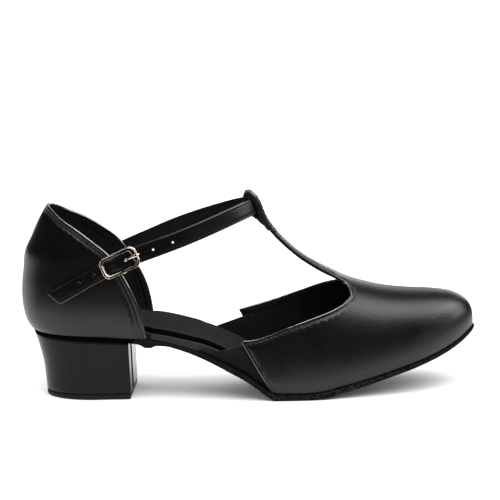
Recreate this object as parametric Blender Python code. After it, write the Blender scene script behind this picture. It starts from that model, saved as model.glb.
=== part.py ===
"""A right T-strap dance shoe on a low block heel, as separate solids.

Lengths are in millimetres of the last's own frame: x runs forward from the back of the heel,
y towards the inner side of the foot and z up. The floor under heel and ball slopes in that frame
by PITCH; place stands the shoe upright on a level floor, in metres.
"""

from collections import namedtuple
from math import acos, asin, ceil, cos, degrees, radians, sin, sqrt, tan

import bmesh
import bpy
from mathutils import Matrix, Vector
from mathutils.geometry import delaunay_2d_cdt

MM = 0.001
FRAME_X = 124.7
FRAME_Y = 5.0
GAP = 0.3
OUTER = -1
INNER = 1

# Floor: a point under the ball of the foot and the slope through it, in degrees
FLOOR_X = 150.0
FLOOR_Z = 0.95
PITCH = 1.4

# Finishes
Finish = namedtuple("Finish", "colour roughness metallic")
SMOOTH_LEATHER = Finish((0.012, 0.012, 0.013), 0.35, 0.0)
EDGE_LEATHER = Finish((0.020, 0.020, 0.021), 0.45, 0.0)
HEEL_LEATHER = Finish((0.012, 0.012, 0.013), 0.3, 0.0)
HARD_RUBBER = Finish((0.012, 0.012, 0.013), 0.6, 0.0)
SUEDE = Finish((0.018, 0.016, 0.015), 0.95, 0.0)
LINING = Finish((0.018, 0.016, 0.015), 0.8, 0.0)
PLATED_METAL = Finish((0.72, 0.66, 0.58), 0.25, 1.0)

# Mesh: steps along edges and in each panel's fill, and the point that the panel's outside faces away from
EDGE_STEP = 4.0
DRAW_STEP = 0.2
BACK_STEPS = 60
FILL_MARGIN = 0.45
FILL_WELD = 1e-4
Fill = namedtuple("Fill", "along across core")
COUNTER_FILL = Fill(5.0, 5.0, (40.0, 0.0, 60.0))
VAMP_FILL = Fill(5.0, 7.0, (190.0, 8.0, 30.0))
WING_FILL = Fill(5.0, 4.0, (120.0, 0.0, 30.0))
RIDGE_STEP = 0.5
BAR_STEP = 2.6
STRAP_STEP = 3.0
SEAT_STEP = 0.2

# Sole plan: middle line and half width at each station
HEEL_BACK = 5.4
HEEL_ROUND = 30.0
TOE_TIP = 248.4
TOE_ROUND = 34.0
Plan = namedtuple("Plan", "x centre half")
PLAN = (
    Plan(5, 0.0, 25.0),
    Plan(45, 0.0, 25.0),
    Plan(60, -0.3, 24.6),
    Plan(76, -1.8, 24.2),
    Plan(92, -3.2, 23.8),
    Plan(108, -3.5, 25.0),
    Plan(124, -1.4, 28.6),
    Plan(141, 1.6, 32.3),
    Plan(156, 4.6, 34.9),
    Plan(168, 6.4, 35.6),
    Plan(180, 7.8, 34.9),
    Plan(206, 9.9, 30.5),
    Plan(230, 11.6, 24.6),
    Plan(249, 12.6, 19.5),
)

# Sole profile: heights of the outsole's underside and of its top
Profile = namedtuple("Profile", "x bottom top")
PROFILE = (
    Profile(5, 33.3, 34.9),
    Profile(20, 32.6, 34.1),
    Profile(40, 31.7, 33.2),
    Profile(60, 30.7, 32.6),
    Profile(66, 29.8, 32.6),
    Profile(70.5, 28.1, 33.0),
    Profile(75, 29.6, 32.6),
    Profile(80, 29.5, 31.8),
    Profile(88, 27.6, 29.9),
    Profile(97, 24.5, 27.4),
    Profile(106, 20.6, 23.8),
    Profile(115, 16.1, 19.4),
    Profile(124, 11.4, 14.8),
    Profile(131, 6.8, 10.2),
    Profile(136.5, 2.7, 6.3),
    Profile(141, 0.4, 4.3),
    Profile(156, 0.8, 4.4),
    Profile(166, 2.0, 5.4),
    Profile(176, 4.5, 7.9),
    Profile(193, 9.5, 12.4),
    Profile(206, 13.6, 16.4),
    Profile(220, 18.4, 21.0),
    Profile(230, 22.4, 24.9),
    Profile(240, 27.6, 30.0),
    Profile(249, 34.4, 36.8),
)
SOLE_EDGE = 0.9
ARRIS = 0.2
END_ANGLES = (8, 24, 40, 56, 72)
STATION_CLEAR = 2.0

# Insole board and sock: how far their edges stay inside the sole's edge, and the heights of their tops
Edge = namedtuple("Edge", "x inset")
BOARD_EDGE = (
    Edge(5, 2.7),
    Edge(70.2, 2.7),
    Edge(73, 0.6),
    Edge(95.5, 0.6),
    Edge(99, 2.5),
    Edge(121, 4.1),
    Edge(145, 4.1),
    Edge(150, 3.1),
    Edge(249, 3.1),
)
Bed = namedtuple("Bed", "x board sock")
BED = (
    Bed(5, 40.4, 43.4),
    Bed(20, 40.0, 43.0),
    Bed(45, 39.3, 42.2),
    Bed(60, 38.0, 41.3),
    Bed(70, 36.8, 40.4),
    Bed(79.3, 35.6, 39.4),
    Bed(93.4, 32.8, 36.5),
    Bed(104.4, 29.5, 33.2),
    Bed(110.5, 26.9, 30.5),
    Bed(117, 23.7, 27.2),
    Bed(124, 19.7, 23.0),
    Bed(131, 15.0, 18.2),
    Bed(136.5, 10.9, 14.2),
    Bed(141, 8.4, 11.7),
    Bed(156, 8.2, 11.6),
    Bed(166, 9.4, 12.8),
    Bed(176, 11.9, 15.3),
    Bed(193, 16.9, 20.4),
    Bed(206, 21.0, 24.5),
    Bed(220, 25.8, 29.3),
    Bed(230, 29.8, 33.3),
    Bed(240, 35.0, 38.5),
    Bed(249, 41.8, 45.3),
)
BOARD_ROUND = 0.7
SOCK_INSET = 1.3
SOCK_ROUND = 1.4
SOCK_DISH = 0.7

# Heel: back, breast and half widths by share of the way down
LIFT = 3.2
HEEL_CURVE = 28.0
HEEL_TURNS = 16
HEEL_SHOULDER = 12.0
BREAST_HOLLOW = 1.2
BREAST_CORNER = 1.0
BREAST_SHARES = (-1.0, -0.5, 0.0, 0.5, 1.0)
HeelRow = namedtuple("HeelRow", "share back half breast breast_half")
HEEL = (
    HeelRow(0.0, 6.0, 24.6, 59.6, 23.9),
    HeelRow(0.25, 8.5, 24.0, 59.9, 23.2),
    HeelRow(0.55, 10.9, 23.3, 60.3, 22.4),
    HeelRow(1.0, 12.7, 22.6, 60.9, 21.6),
)
HEEL_SHARES = (0.0, 0.12, 0.25, 0.4, 0.55, 0.75, 1.0)

# Counter: back, length of the round and half width by height
COUNTER_WALL = 1.8
COUNTER_PATTERN = 0.55
Slice = namedtuple("Slice", "z back length half")
COUNTER = (
    Slice(32, 7.4, 28.5, 23.4),
    Slice(35, 4.6, 31.0, 24.9),
    Slice(39, 1.9, 34.0, 26.6),
    Slice(43, 0.5, 36.0, 27.8),
    Slice(49, -0.5, 37.5, 28.7),
    Slice(55, -0.8, 39.0, 29.1),
    Slice(61, -0.6, 40.5, 29.2),
    Slice(68, 0.1, 42.5, 29.0),
    Slice(76, 0.7, 44.5, 28.6),
    Slice(86, 4.7, 47.0, 27.8),
    Slice(96, 9.1, 50.0, 26.5),
    Slice(104, 13.6, 52.0, 25.0),
)
SIDE_RUN = 0.55
Collar = namedtuple("Collar", "x z inner_reach")
COLLAR = (
    Collar(13.4, 103.4, 0.0),
    Collar(17.0, 101.2, 0.0),
    Collar(22.0, 97.9, 0.0),
    Collar(31.5, 92.8, 0.0),
    Collar(40.3, 87.0, 0.0),
    Collar(49.0, 80.2, 0.3),
    Collar(56.8, 69.2, 0.8),
    Collar(64.6, 53.6, 1.1),
    Collar(69.6, 33.4, 0.8),
)

# Vamp: outer line along the toe, the instep, the T-bar and its loop
VAMP_WALL = 1.3
PATTERN = 0.6
TIP_RUN = 0.6
FEATHER_INSET = 0.8
FEATHER_ANGLE = 120.0
BELLY_HEIGHT = 12.0
BELLY_SHARE = 0.3
SWELL = 2.2
SWELL_HEIGHT = 25.0
ROOT_X = 150.0
INSTEP_SLOPE = 0.84
BAR_LIMIT = 45.0
BAR_HALF = 4.4
CROWN_FADE = 25.0
Ridge = namedtuple("Ridge", "x y z")
RIDGE = (
    Ridge(247.6, 12.5, 36.3),
    Ridge(247.5, 12.5, 40.4),
    Ridge(246.9, 12.5, 44.5),
    Ridge(244.9, 12.4, 48.6),
    Ridge(241.3, 12.2, 52.0),
    Ridge(235.2, 11.8, 54.7),
    Ridge(226.0, 11.2, 56.0),
    Ridge(212.0, 10.2, 56.6),
    Ridge(200.0, 9.4, 57.6),
    Ridge(189.0, 8.7, 59.8),
    Ridge(179.0, 8.0, 62.7),
    Ridge(170.0, 7.2, 66.7),
    Ridge(161.0, 6.4, 71.3),
    Ridge(152.0, 5.6, 77.0),
    Ridge(143.5, 4.9, 84.2),
    Ridge(138.5, 4.5, 89.4),
    Ridge(134.4, 4.2, 94.8),
    Ridge(132.2, 4.0, 99.5),
    Ridge(130.3, 4.0, 104.3),
    Ridge(127.6, 4.0, 108.6),
    Ridge(124.4, 4.0, 111.0),
    Ridge(121.8, 4.0, 110.3),
    Ridge(120.9, 4.0, 107.4),
    Ridge(121.8, 4.0, 103.3),
    Ridge(124.2, 4.0, 98.9),
    Ridge(128.6, 4.0, 95.9),
    Ridge(132.1, 4.0, 92.9),
    Ridge(134.6, 4.0, 89.7),
)
FOLD_JOIN = Ridge(134.7, 4.0, 91.9)
FOLD_JOIN_SIZE = (3.0, 6.0, 1.5)
FOLD_JOIN_TILT = 128.0

# Edges of the vamp: back corner on the sole, then the topline to the throat, then the T-bar's half width
Point = namedtuple("Point", "x z")
BACK_FOOT = {OUTER: 138.8, INNER: 134.0}
TOPLINE = {
    OUTER: (
        Point(122.2, 33.6),
        Point(127.0, 33.9),
        Point(132.0, 35.0),
        Point(139.0, 37.4),
        Point(148.0, 41.1),
        Point(162.0, 46.0),
        Point(172.0, 49.6),
        Point(178.4, 53.2),
        Point(181.0, 56.4),
    ),
    INNER: (
        Point(117.7, 39.8),
        Point(133.0, 43.6),
        Point(151.0, 49.6),
        Point(164.0, 54.9),
        Point(173.0, 57.7),
        Point(178.6, 58.8),
    ),
}
Flare = namedtuple("Flare", "x half")
FLARE = (Flare(178.6, 10.4), Flare(173.0, 8.0), Flare(165.0, 6.4), Flare(156.0, 5.2))

# Lining wings: top edges, and how far forward they reach on the sole inside the vamp
WING_WALL = 1.0
WING_FOOT = {OUTER: 144.0, INNER: 140.0}
WING_INSET = (Edge(96, 0.0), Edge(121, 1.8), Edge(146, 1.8))
WING = {
    OUTER: (
        Point(100.0, 27.4),
        Point(105.5, 26.4),
        Point(110.5, 27.7),
        Point(115.7, 29.2),
        Point(123.0, 31.4),
        Point(129.0, 33.3),
    ),
    INNER: (
        Point(103.0, 30.2),
        Point(108.5, 32.4),
        Point(119.0, 36.0),
        Point(125.0, 37.6),
    ),
}

# Ankle strap: laid on the counter at both ends and free in between
STRAP_WIDTH = 9.0
STRAP_THICK = 1.8
STRAP_CHAMFER = 0.4
STRAP_GAP = 0.35
LAID_STEP = 6.0
TAIL_SLANT = 24.0
LAID_INNER = (Point(42.0, 67.4), Point(49.0, 71.0), Point(57.0, 75.0), Point(66.0, 79.2))
LAID_OUTER = (
    Point(65.5, 80.7),
    Point(55.3, 75.8),
    Point(45.0, 70.9),
    Point(34.0, 64.6),
    Point(18.9, 55.2),
)
Free = namedtuple("Free", "x y z lean")
FREE = (
    Free(80.6, 28.7, 85.9, 8.0),
    Free(94.2, 26.6, 91.4, 11.0),
    Free(107.8, 22.4, 96.5, 15.0),
    Free(119.4, 15.6, 100.8, 20.0),
    Free(126.2, 8.9, 102.9, 23.0),
    Free(126.9, 4.0, 103.2, 24.0),
    Free(126.2, -1.2, 103.0, 23.0),
    Free(120.2, -9.8, 101.2, 20.0),
    Free(109.5, -18.2, 97.3, 15.0),
    Free(98.0, -24.1, 92.9, 11.0),
    Free(88.0, -27.3, 89.1, 9.0),
    Free(76.0, -29.8, 84.8, 8.0),
)

# Buckle: frame over the strap, cross bar under it, prong hooked over the frame's front bar
BUCKLE_AT = 56.3
BUCKLE_UP = 0.6
BUCKLE_LONG = 22.0
BUCKLE_WIDE = 12.0
BUCKLE_CORNER = 2.6
CORNER_TURNS = (0, 22.5, 45, 67.5, 90)
FRAME_BAR = 1.9
FRAME_THICK = 1.6
FRAME_LIFT = 1.35
FRAME_CHAMFER = 0.45
CROSS_WIDE = 1.1
CROSS_REACH = 5.6
CROSS_CLEAR = 4.8
CROSS_UNDER = -2.4
CROSS_RISE = 2.2
CROSS_END = 0.5
PRONG_WIDE = 1.3
Bend = namedtuple("Bend", "along out")
PRONG = (
    Bend(3.2, 1.35),
    Bend(8.75, 1.35),
    Bend(8.75, 3.3),
    Bend(11.3, 3.3),
    Bend(11.3, 1.8),
    Bend(12.1, 1.8),
    Bend(12.1, 3.7),
    Bend(11.6, 4.1),
    Bend(8.6, 4.1),
    Bend(7.8, 3.4),
    Bend(7.4, 2.5),
    Bend(3.7, 2.4),
    Bend(3.2, 2.0),
)


def smooth(rows, column, x):
    """Monotone cubic through one column of a table, against the table's first column."""
    xs = [row[0] for row in rows]
    ys = [getattr(row, column) for row in rows]
    if x <= xs[0]:
        return ys[0]
    if x >= xs[-1]:
        return ys[-1]
    i = max(k for k in range(len(xs) - 1) if xs[k] <= x)

    def secant(k):
        return (ys[k + 1] - ys[k]) / (xs[k + 1] - xs[k])

    def slope(k):
        if k == 0:
            return secant(0)
        if k == len(xs) - 1:
            return secant(k - 1)
        before, after = secant(k - 1), secant(k)
        return 0.0 if before * after <= 0 else 2 * before * after / (before + after)

    span = xs[i + 1] - xs[i]
    t = (x - xs[i]) / span
    rise = slope(i) * span * t * (1 - t) ** 2 - slope(i + 1) * span * t * t * (1 - t)
    return ys[i] * (1 + 2 * t) * (1 - t) ** 2 + ys[i + 1] * t * t * (3 - 2 * t) + rise


def spline(rows, step):
    """Points about step apart on a smooth curve through the rows."""
    knots = [Vector(row) for row in rows]
    knots = [2 * knots[0] - knots[1]] + knots + [2 * knots[-1] - knots[-2]]
    points = []
    for a, b, c, d in zip(knots, knots[1:], knots[2:], knots[3:]):
        tb = sqrt((b - a).length)
        tc = tb + sqrt((c - b).length)
        td = tc + sqrt((d - c).length)
        count = max(1, ceil((c - b).length / step))
        for k in range(count):
            t = tb + (tc - tb) * k / count
            ab = a.lerp(b, t / tb)
            bc = b.lerp(c, (t - tb) / (tc - tb))
            cd = c.lerp(d, (t - tc) / (td - tc))
            points.append(ab.lerp(bc, t / tc).lerp(bc.lerp(cd, (t - tb) / (td - tb)), (t - tb) / (tc - tb)))
    return points + [knots[-2]]


def thinned(points, step):
    """Every point at least step from the last one kept, and the last."""
    kept = [points[0]]
    for point in points[1:-1]:
        if (point - kept[-1]).length >= step and (point - points[-1]).length >= step / 2:
            kept.append(point)
    return kept + [points[-1]]


def end_round(distance, length):
    """Share of the full width left at this distance from a rounded end."""
    if distance <= 0:
        return 0.0
    return 1.0 if distance >= length else sqrt(1 - (1 - distance / length) ** 2)


def centre(x):
    return smooth(PLAN, "centre", x)


def plan_half(x, inset):
    """Half width of the sole's outline, drawn in by inset all round."""
    heel = end_round(x - HEEL_BACK - inset, HEEL_ROUND - inset)
    toe = end_round(TOE_TIP - inset - x, TOE_ROUND - inset)
    return (smooth(PLAN, "half", x) - inset) * heel * toe


def floor_line(x):
    return FLOOR_Z + (x - FLOOR_X) * tan(radians(PITCH))


def sole_bottom(x):
    """Underside of the outsole, flat where it stands on the floor."""
    return max(smooth(PROFILE, "bottom", x), floor_line(x))


def sole_top(x):
    return smooth(PROFILE, "top", x)


def place(point):
    """Turns a point of the last's frame about the ball of the foot on to the level floor."""
    lean = radians(PITCH)
    run, rise = point[0] - FLOOR_X, point[2] - FLOOR_Z
    x = FLOOR_X + run * cos(lean) + rise * sin(lean)
    return Vector((x - FRAME_X, point[1] - FRAME_Y, rise * cos(lean) - run * sin(lean))) * MM


def finish(name, mesh, material):
    """Turns a bmesh in metres into a smooth-shaded object of its own material."""
    data = bpy.data.meshes.new(name)
    mesh.to_mesh(data)
    mesh.free()
    data.polygons.foreach_set("use_smooth", [True] * len(data.polygons))
    data.materials.append(material)
    part = bpy.data.objects.new(name, data)
    bpy.context.scene.collection.objects.link(part)
    return part


def paint(name, coat):
    material = bpy.data.materials.new(name)
    material.use_nodes = True
    shader = material.node_tree.nodes["Principled BSDF"]
    shader.inputs["Base Color"].default_value = (*coat.colour, 1.0)
    shader.inputs["Roughness"].default_value = coat.roughness
    shader.inputs["Metallic"].default_value = coat.metallic
    return material


def loft(name, rings, material, closed=False):
    """A solid through rings of equal point count, capped at both ends unless it closes on itself."""
    mesh = bmesh.new()
    loops = [[mesh.verts.new(place(point)) for point in ring] for ring in rings]
    pairs = list(zip(loops, loops[1:] + loops[:1])) if closed else list(zip(loops, loops[1:]))
    for one, two in pairs:
        for k in range(len(one)):
            n = (k + 1) % len(one)
            mesh.faces.new((one[k], one[n], two[n], two[k]))
    if not closed:
        mesh.faces.new(loops[0])
        mesh.faces.new(loops[-1])
    bmesh.ops.recalc_face_normals(mesh, faces=mesh.faces)
    return finish(name, mesh, material)


def inside(point, outline, margin):
    """Whether a pattern point lies within the outline and at least margin from it."""
    within = False
    for a, b in zip(outline, outline[1:] + outline[:1]):
        side = b - a
        along = max(0.0, min(1.0, (point - a).dot(side) / side.dot(side)))
        if (a + side * along - point).length < margin:
            return False
        if (a.y > point.y) != (b.y > point.y):
            if point.x < a.x + (point.y - a.y) / side.y * side.x:
                within = not within
    return within


def panel(name, outline, fill, face, wall, material, tip=None):
    """Leather cut to a flat outline, filled with triangles, laid on the last by face and given its wall."""
    lows = [min(point[k] for point in outline) for k in (0, 1)]
    highs = [max(point[k] for point in outline) for k in (0, 1)]
    counts = [int((highs[k] - lows[k]) / fill[k]) for k in (0, 1)]
    grid = [
        Vector((lows[0] + fill.along * i, lows[1] + fill.across * j))
        for i in range(1, counts[0] + 1)
        for j in range(1, counts[1] + 1)
    ]
    margin = FILL_MARGIN * min(fill.along, fill.across)
    points = outline + [point for point in grid if inside(point, outline, margin)]
    filled = delaunay_2d_cdt(points, [], [list(range(len(outline)))], 1, FILL_WELD)
    mesh = bmesh.new()
    corners = [mesh.verts.new(place(face(*point))) for point in filled[0]]
    for triangle in filled[2]:
        mesh.faces.new([corners[k] for k in triangle])
    if tip:
        first = min(point[0] for point in filled[0])
        rim = sorted((point[1], k) for k, point in enumerate(filled[0]) if point[0] < first + GAP)
        end = mesh.verts.new(place(tip))
        for (_, one), (_, two) in zip(rim, rim[1:]):
            mesh.faces.new((corners[one], corners[two], end))
    mesh.normal_update()
    core = place(fill.core)
    away = sum(f.normal.dot(f.calc_center_median() - core) * f.calc_area() for f in mesh.faces)
    if away < 0:
        bmesh.ops.reverse_faces(mesh, faces=mesh.faces)
    part = finish(name, mesh, material)
    shell = part.modifiers.new("wall", "SOLIDIFY")
    shell.thickness = wall * MM
    shell.offset = -1
    shell.use_even_offset = True
    return part


def stations(first, last):
    """Stations from heel to toe: round ends by angle, between them the profile's rows and their middles."""
    heel = [first + HEEL_ROUND * (1 - cos(radians(turn))) for turn in END_ANGLES]
    toe = [last - TOE_ROUND * (1 - cos(radians(turn))) for turn in reversed(END_ANGLES)]
    rows = [row.x for row in PROFILE]
    halves = [(a + b) / 2 for a, b in zip(rows, rows[1:])]
    low, high = heel[-1] + STATION_CLEAR, toe[0] - STATION_CLEAR
    between = [x for x in sorted(rows + halves) if low < x < high]
    return heel + between + toe


def slab(name, first, last, inset, low, high, rounds, dish, material):
    """A layer of the bottom: the sole's outline drawn in, between two heights, with rounded edges."""
    low_round, high_round = rounds
    rings = []
    for x in stations(first, last):
        half = plan_half(x, inset(x))
        middle = centre(x)
        section = (
            (-half, high(x) - high_round),
            (-half + high_round, high(x)),
            (0.0, high(x) - dish),
            (half - high_round, high(x)),
            (half, high(x) - high_round),
            (half, low(x) + low_round),
            (half - low_round, low(x)),
            (-half + low_round, low(x)),
            (-half, low(x) + low_round),
        )
        rings.append([(x, middle + across, height) for across, height in section])
    return loft(name, rings, material)


def board_inset(x):
    return smooth(BOARD_EDGE, "inset", x)


def sock_inset(x):
    return board_inset(x) + SOCK_INSET


def board_low(x):
    return sole_top(x) + GAP


def board_high(x):
    return smooth(BED, "board", x)


def sock_low(x):
    return board_high(x) + GAP


def sock_high(x):
    return smooth(BED, "sock", x)


def heel_outline(share):
    """Plan of the covered heel, from the inner breast corner round the back to the outer one."""
    back = smooth(HEEL, "back", share)
    half = smooth(HEEL, "half", share)
    breast = smooth(HEEL, "breast", share)
    front = smooth(HEEL, "breast_half", share)
    shoulder = (half + front) / 2
    outline = [(breast - BREAST_CORNER, front), (breast - HEEL_SHOULDER, shoulder)]
    for k in range(HEEL_TURNS + 1):
        turn = radians(90 - 180 * k / HEEL_TURNS)
        outline.append((back + HEEL_CURVE * (1 - cos(turn)), half * sin(turn)))
    outline += [(breast - HEEL_SHOULDER, -shoulder), (breast - BREAST_CORNER, -front)]
    for across in BREAST_SHARES:
        hollow = BREAST_HOLLOW * (1 - across * across)
        outline.append((breast - hollow, across * (front - BREAST_CORNER)))
    return outline


def counter_point(turn, z):
    """Outer face of the counter: turn is 0 at the back and 90 degrees where the sides run straight."""
    row = [smooth(COUNTER, column, z) for column in ("back", "length", "half")]
    side = INNER if turn >= 0 else OUTER
    bend = min(abs(turn), 90.0)
    x = row[0] + row[1] * (1 - cos(radians(bend))) + max(0.0, abs(turn) - 90.0) * SIDE_RUN
    return (x, centre(x) + side * row[2] * sin(radians(bend)), z)


def counter_turn(x, z):
    """The turn at which the counter's face passes station x at this height."""
    back = smooth(COUNTER, "back", z)
    length = smooth(COUNTER, "length", z)
    share = (x - back) / length
    if share >= 1:
        return 90.0 + (x - back - length) / SIDE_RUN
    return degrees(acos(min(1.0, 1 - share)))


RIDGE_LINE = spline(RIDGE, RIDGE_STEP)
RIDGE_RUN = [0.0]
for one, two in zip(RIDGE_LINE, RIDGE_LINE[1:]):
    RIDGE_RUN.append(RIDGE_RUN[-1] + (two - one).length)


def ridge_at(run):
    """Point of the ridge line at this run from the toe tip."""
    k = max(0, min(len(RIDGE_RUN) - 2, sum(1 for value in RIDGE_RUN if value <= run) - 1))
    share = (run - RIDGE_RUN[k]) / (RIDGE_RUN[k + 1] - RIDGE_RUN[k])
    return RIDGE_LINE[k].lerp(RIDGE_LINE[k + 1], share)


def run_of(x):
    """Run along the ridge at station x, or past the T-bar's root the run of the side walls."""
    if x < ROOT_X:
        return RUN_ROOT + ROOT_X - x
    k = next(k for k, point in enumerate(RIDGE_LINE) if point.x <= x)
    if k == 0:
        return 0.0
    before, after = RIDGE_LINE[k - 1], RIDGE_LINE[k]
    share = (before.x - x) / (before.x - after.x)
    return RIDGE_RUN[k - 1] + share * (RIDGE_RUN[k] - RIDGE_RUN[k - 1])


RUN_ROOT = run_of(ROOT_X)
ROOT = ridge_at(RUN_ROOT)


def instep(x):
    """Ridge of the last at a station: the ridge line, or past the T-bar's root a straight instep."""
    if x >= ROOT_X:
        return ridge_at(run_of(x))
    return Vector((x, ROOT.y, ROOT.z + INSTEP_SLOPE * (ROOT_X - x)))


def wall_sizes(x, ridge_z, inset):
    """Feather height, wall height, height of the belly, swell and half width at a station."""
    feather = sole_top(x) + GAP
    height = ridge_z - inset - feather
    belly = min(BELLY_HEIGHT, BELLY_SHARE * height)
    swell = SWELL * min(1.0, height / SWELL_HEIGHT)
    return feather, height, belly, swell, plan_half(x, FEATHER_INSET + inset) + swell


def wall_point(ridge, turn, inset):
    """Outer face of the forepart: turn is 0 on the ridge, 90 at the belly, FEATHER_ANGLE on the sole."""
    feather, height, belly, swell, half = wall_sizes(ridge.x, ridge.z, inset)
    side = INNER if turn >= 0 else OUTER
    middle = centre(ridge.x)
    if abs(turn) <= 90:
        lean = cos(radians(turn))
        across = half * sin(radians(turn)) + (ridge.y - middle) * lean
        return (ridge.x, middle + across, feather + belly + (height - belly) * lean)
    tuck = (abs(turn) - 90) / (FEATHER_ANGLE - 90)
    return (ridge.x, middle + side * (half - swell * tuck * tuck), feather + belly * (1 - tuck))


def vamp_point(run, turn, inset=0.0):
    """Outer face of the vamp, its side walls and its T-bar from the pattern's two directions."""
    if run <= RUN_ROOT:
        return wall_point(ridge_at(run), turn, inset)
    if abs(turn) > BAR_LIMIT:
        return wall_point(instep(ROOT_X - (run - RUN_ROOT)), turn, inset)
    _, height, belly, _, half = wall_sizes(ROOT_X, ROOT.z, inset)
    ridge = ridge_at(run)
    crown = (height - belly) * max(0.0, 1 - (run - RUN_ROOT) / CROWN_FADE)
    return (ridge.x, ridge.y + half * sin(radians(turn)), ridge.z - crown * (1 - cos(radians(turn))))


def wall_turn(x, z):
    """The turn at which the forepart's wall passes this height."""
    feather, height, belly, _, _ = wall_sizes(x, instep(x).z, 0.0)
    rise = z - feather
    if rise >= belly:
        return degrees(acos(min(1.0, (rise - belly) / (height - belly))))
    return 90 + (FEATHER_ANGLE - 90) * (1 - rise / belly)


def pattern(run, turn):
    return Vector((run, turn * PATTERN))


def on_vamp(run, turn):
    return vamp_point(run, turn / PATTERN)


def vamp_edge(side, step):
    """The vamp's free edge on one side, in its pattern: up the back, along the topline, up the T-bar."""
    line = thinned(spline(TOPLINE[side], DRAW_STEP), step)
    top = [pattern(run_of(p.x), side * wall_turn(*p)) for p in line]
    foot = Vector((BACK_FOOT[side], sole_top(BACK_FOOT[side]) + GAP))
    rise = [foot.lerp(line[0], k / BACK_STEPS) for k in range(BACK_STEPS + 1)]
    edge = thinned([pattern(run_of(p.x), side * wall_turn(*p)) for p in rise], step)[:-1]
    for row in FLARE:
        half = wall_sizes(row.x, instep(row.x).z, 0.0)[4]
        top.append(pattern(run_of(row.x), side * degrees(asin(row.half / half))))
    bar = side * degrees(asin(BAR_HALF / wall_sizes(ROOT_X, ROOT.z, 0.0)[4]))
    top.append(pattern(RUN_ROOT, bar))
    edge += spline(top, step)
    count = ceil((RIDGE_RUN[-1] - RUN_ROOT) / BAR_STEP)
    for k in range(1, count + 1):
        edge.append(pattern(RUN_ROOT + (RIDGE_RUN[-1] - RUN_ROOT) * k / count, bar))
    return edge


def feather_line(side, step):
    """The vamp's lower edge on one side, in its pattern, from the toe to the back corner."""
    last = run_of(BACK_FOOT[side])
    count = ceil((last - TIP_RUN) / step)
    return [pattern(TIP_RUN + (last - TIP_RUN) * k / count, side * FEATHER_ANGLE) for k in range(count)]


def vamp_outline(step):
    tip_count = ceil(2 * FEATHER_ANGLE * PATTERN / (2 * step))
    tip = [pattern(TIP_RUN, FEATHER_ANGLE * (1 - 2 * k / tip_count)) for k in range(1, tip_count)]
    outer = feather_line(OUTER, step) + vamp_edge(OUTER, step)
    inner = feather_line(INNER, step) + vamp_edge(INNER, step)
    return outer + inner[::-1] + tip


def on_wing(run, turn):
    x = ROOT_X - (run - RUN_ROOT)
    return vamp_point(run, turn / PATTERN, smooth(WING_INSET, "inset", x))


def wing_outline(side, step):
    rows = WING[side]
    top = spline([pattern(run_of(p.x), side * wall_turn(*p)) for p in rows], step)
    heel = pattern(run_of(rows[0].x), side * FEATHER_ANGLE)
    toe = pattern(run_of(WING_FOOT[side]), side * FEATHER_ANGLE)
    front = ceil((top[-1] - toe).length / step)
    under = ceil((heel - toe).length / step)
    outline = top + [top[-1].lerp(toe, k / front) for k in range(1, front)]
    return outline + [toe.lerp(heel, k / under) for k in range(under + 1)]


def on_counter(turn, z):
    return counter_point(turn / COUNTER_PATTERN, z)


def counter_edge(side, step):
    """Collar and front edge of one side, in the counter's pattern, from the back down to the sole."""
    rows = [(row.x + (row.inner_reach if side == INNER else 0.0), row.z) for row in COLLAR]
    half = [Vector((side * counter_turn(*row) * COUNTER_PATTERN, row[1])) for row in rows]
    half[0].x = 0.0
    return spline(half, step)


def counter_outline(step):
    """Both edges of the counter and the feather line round the heel between them."""
    inner = counter_edge(INNER, step)
    outer = counter_edge(OUTER, step)
    count = ceil((inner[-1].x - outer[-1].x) / step)
    feather = []
    for k in range(1, count):
        turn = inner[-1].x + (outer[-1].x - inner[-1].x) * k / count
        feather.append(Vector((turn, sole_top(on_counter(turn, COLLAR[-1].z)[0]) + GAP)))
    return inner + feather + outer[:0:-1]


def laid(point, side):
    """Middle of the strap where it lies on the counter, with the lean of the counter's face there."""
    turn = side * counter_turn(*point)
    here = Vector(counter_point(turn, point.y))
    round_heel = Vector(counter_point(turn + 1, point.y)) - Vector(counter_point(turn - 1, point.y))
    upwards = Vector(counter_point(turn, point.y + 1)) - Vector(counter_point(turn, point.y - 1))
    out = upwards.cross(round_heel).normalized()
    middle = here + out * (STRAP_GAP + STRAP_THICK / 2)
    return (*middle, degrees(asin(out.z)))


def strap_frames(step):
    """Middle, direction, width direction and outward direction along the strap."""
    inner = [laid(point, INNER) for point in spline(LAID_INNER, LAID_STEP)]
    outer = [laid(point, OUTER) for point in spline(LAID_OUTER, LAID_STEP)]
    line = spline(inner + list(FREE) + outer, step)
    frames = []
    for k, point in enumerate(line):
        ahead = line[min(k + 1, len(line) - 1)].xyz - line[max(k - 1, 0)].xyz
        along = ahead.normalized()
        level = Vector((-along.y, along.x, 0.0)).normalized()
        lean = radians(point.w)
        width = along.cross(level * cos(lean) + Vector((0, 0, sin(lean)))).normalized()
        frames.append((point.xyz, along, width, width.cross(along)))
    return frames


def strap_section(half_width, half_thick, chamfer):
    corner = ((1, 1), (-1, 1), (-1, -1), (1, -1))
    points = []
    for k, (w, n) in enumerate(corner):
        wide = (w * (half_width - chamfer), n * half_thick)
        thick = (w * half_width, n * (half_thick - chamfer))
        points += [thick, wide] if k % 2 == 0 else [wide, thick]
    return points


def buckle_seat():
    """The buckle's middle on the strap, with the directions towards the toe, across the strap and out."""
    outer_side = [frame for frame in strap_frames(SEAT_STEP) if frame[0].y < 0]
    middle, along, width, out = min(outer_side, key=lambda frame: abs(frame[0].x - BUCKLE_AT))
    return middle + width * BUCKLE_UP, -along, width, out


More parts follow.
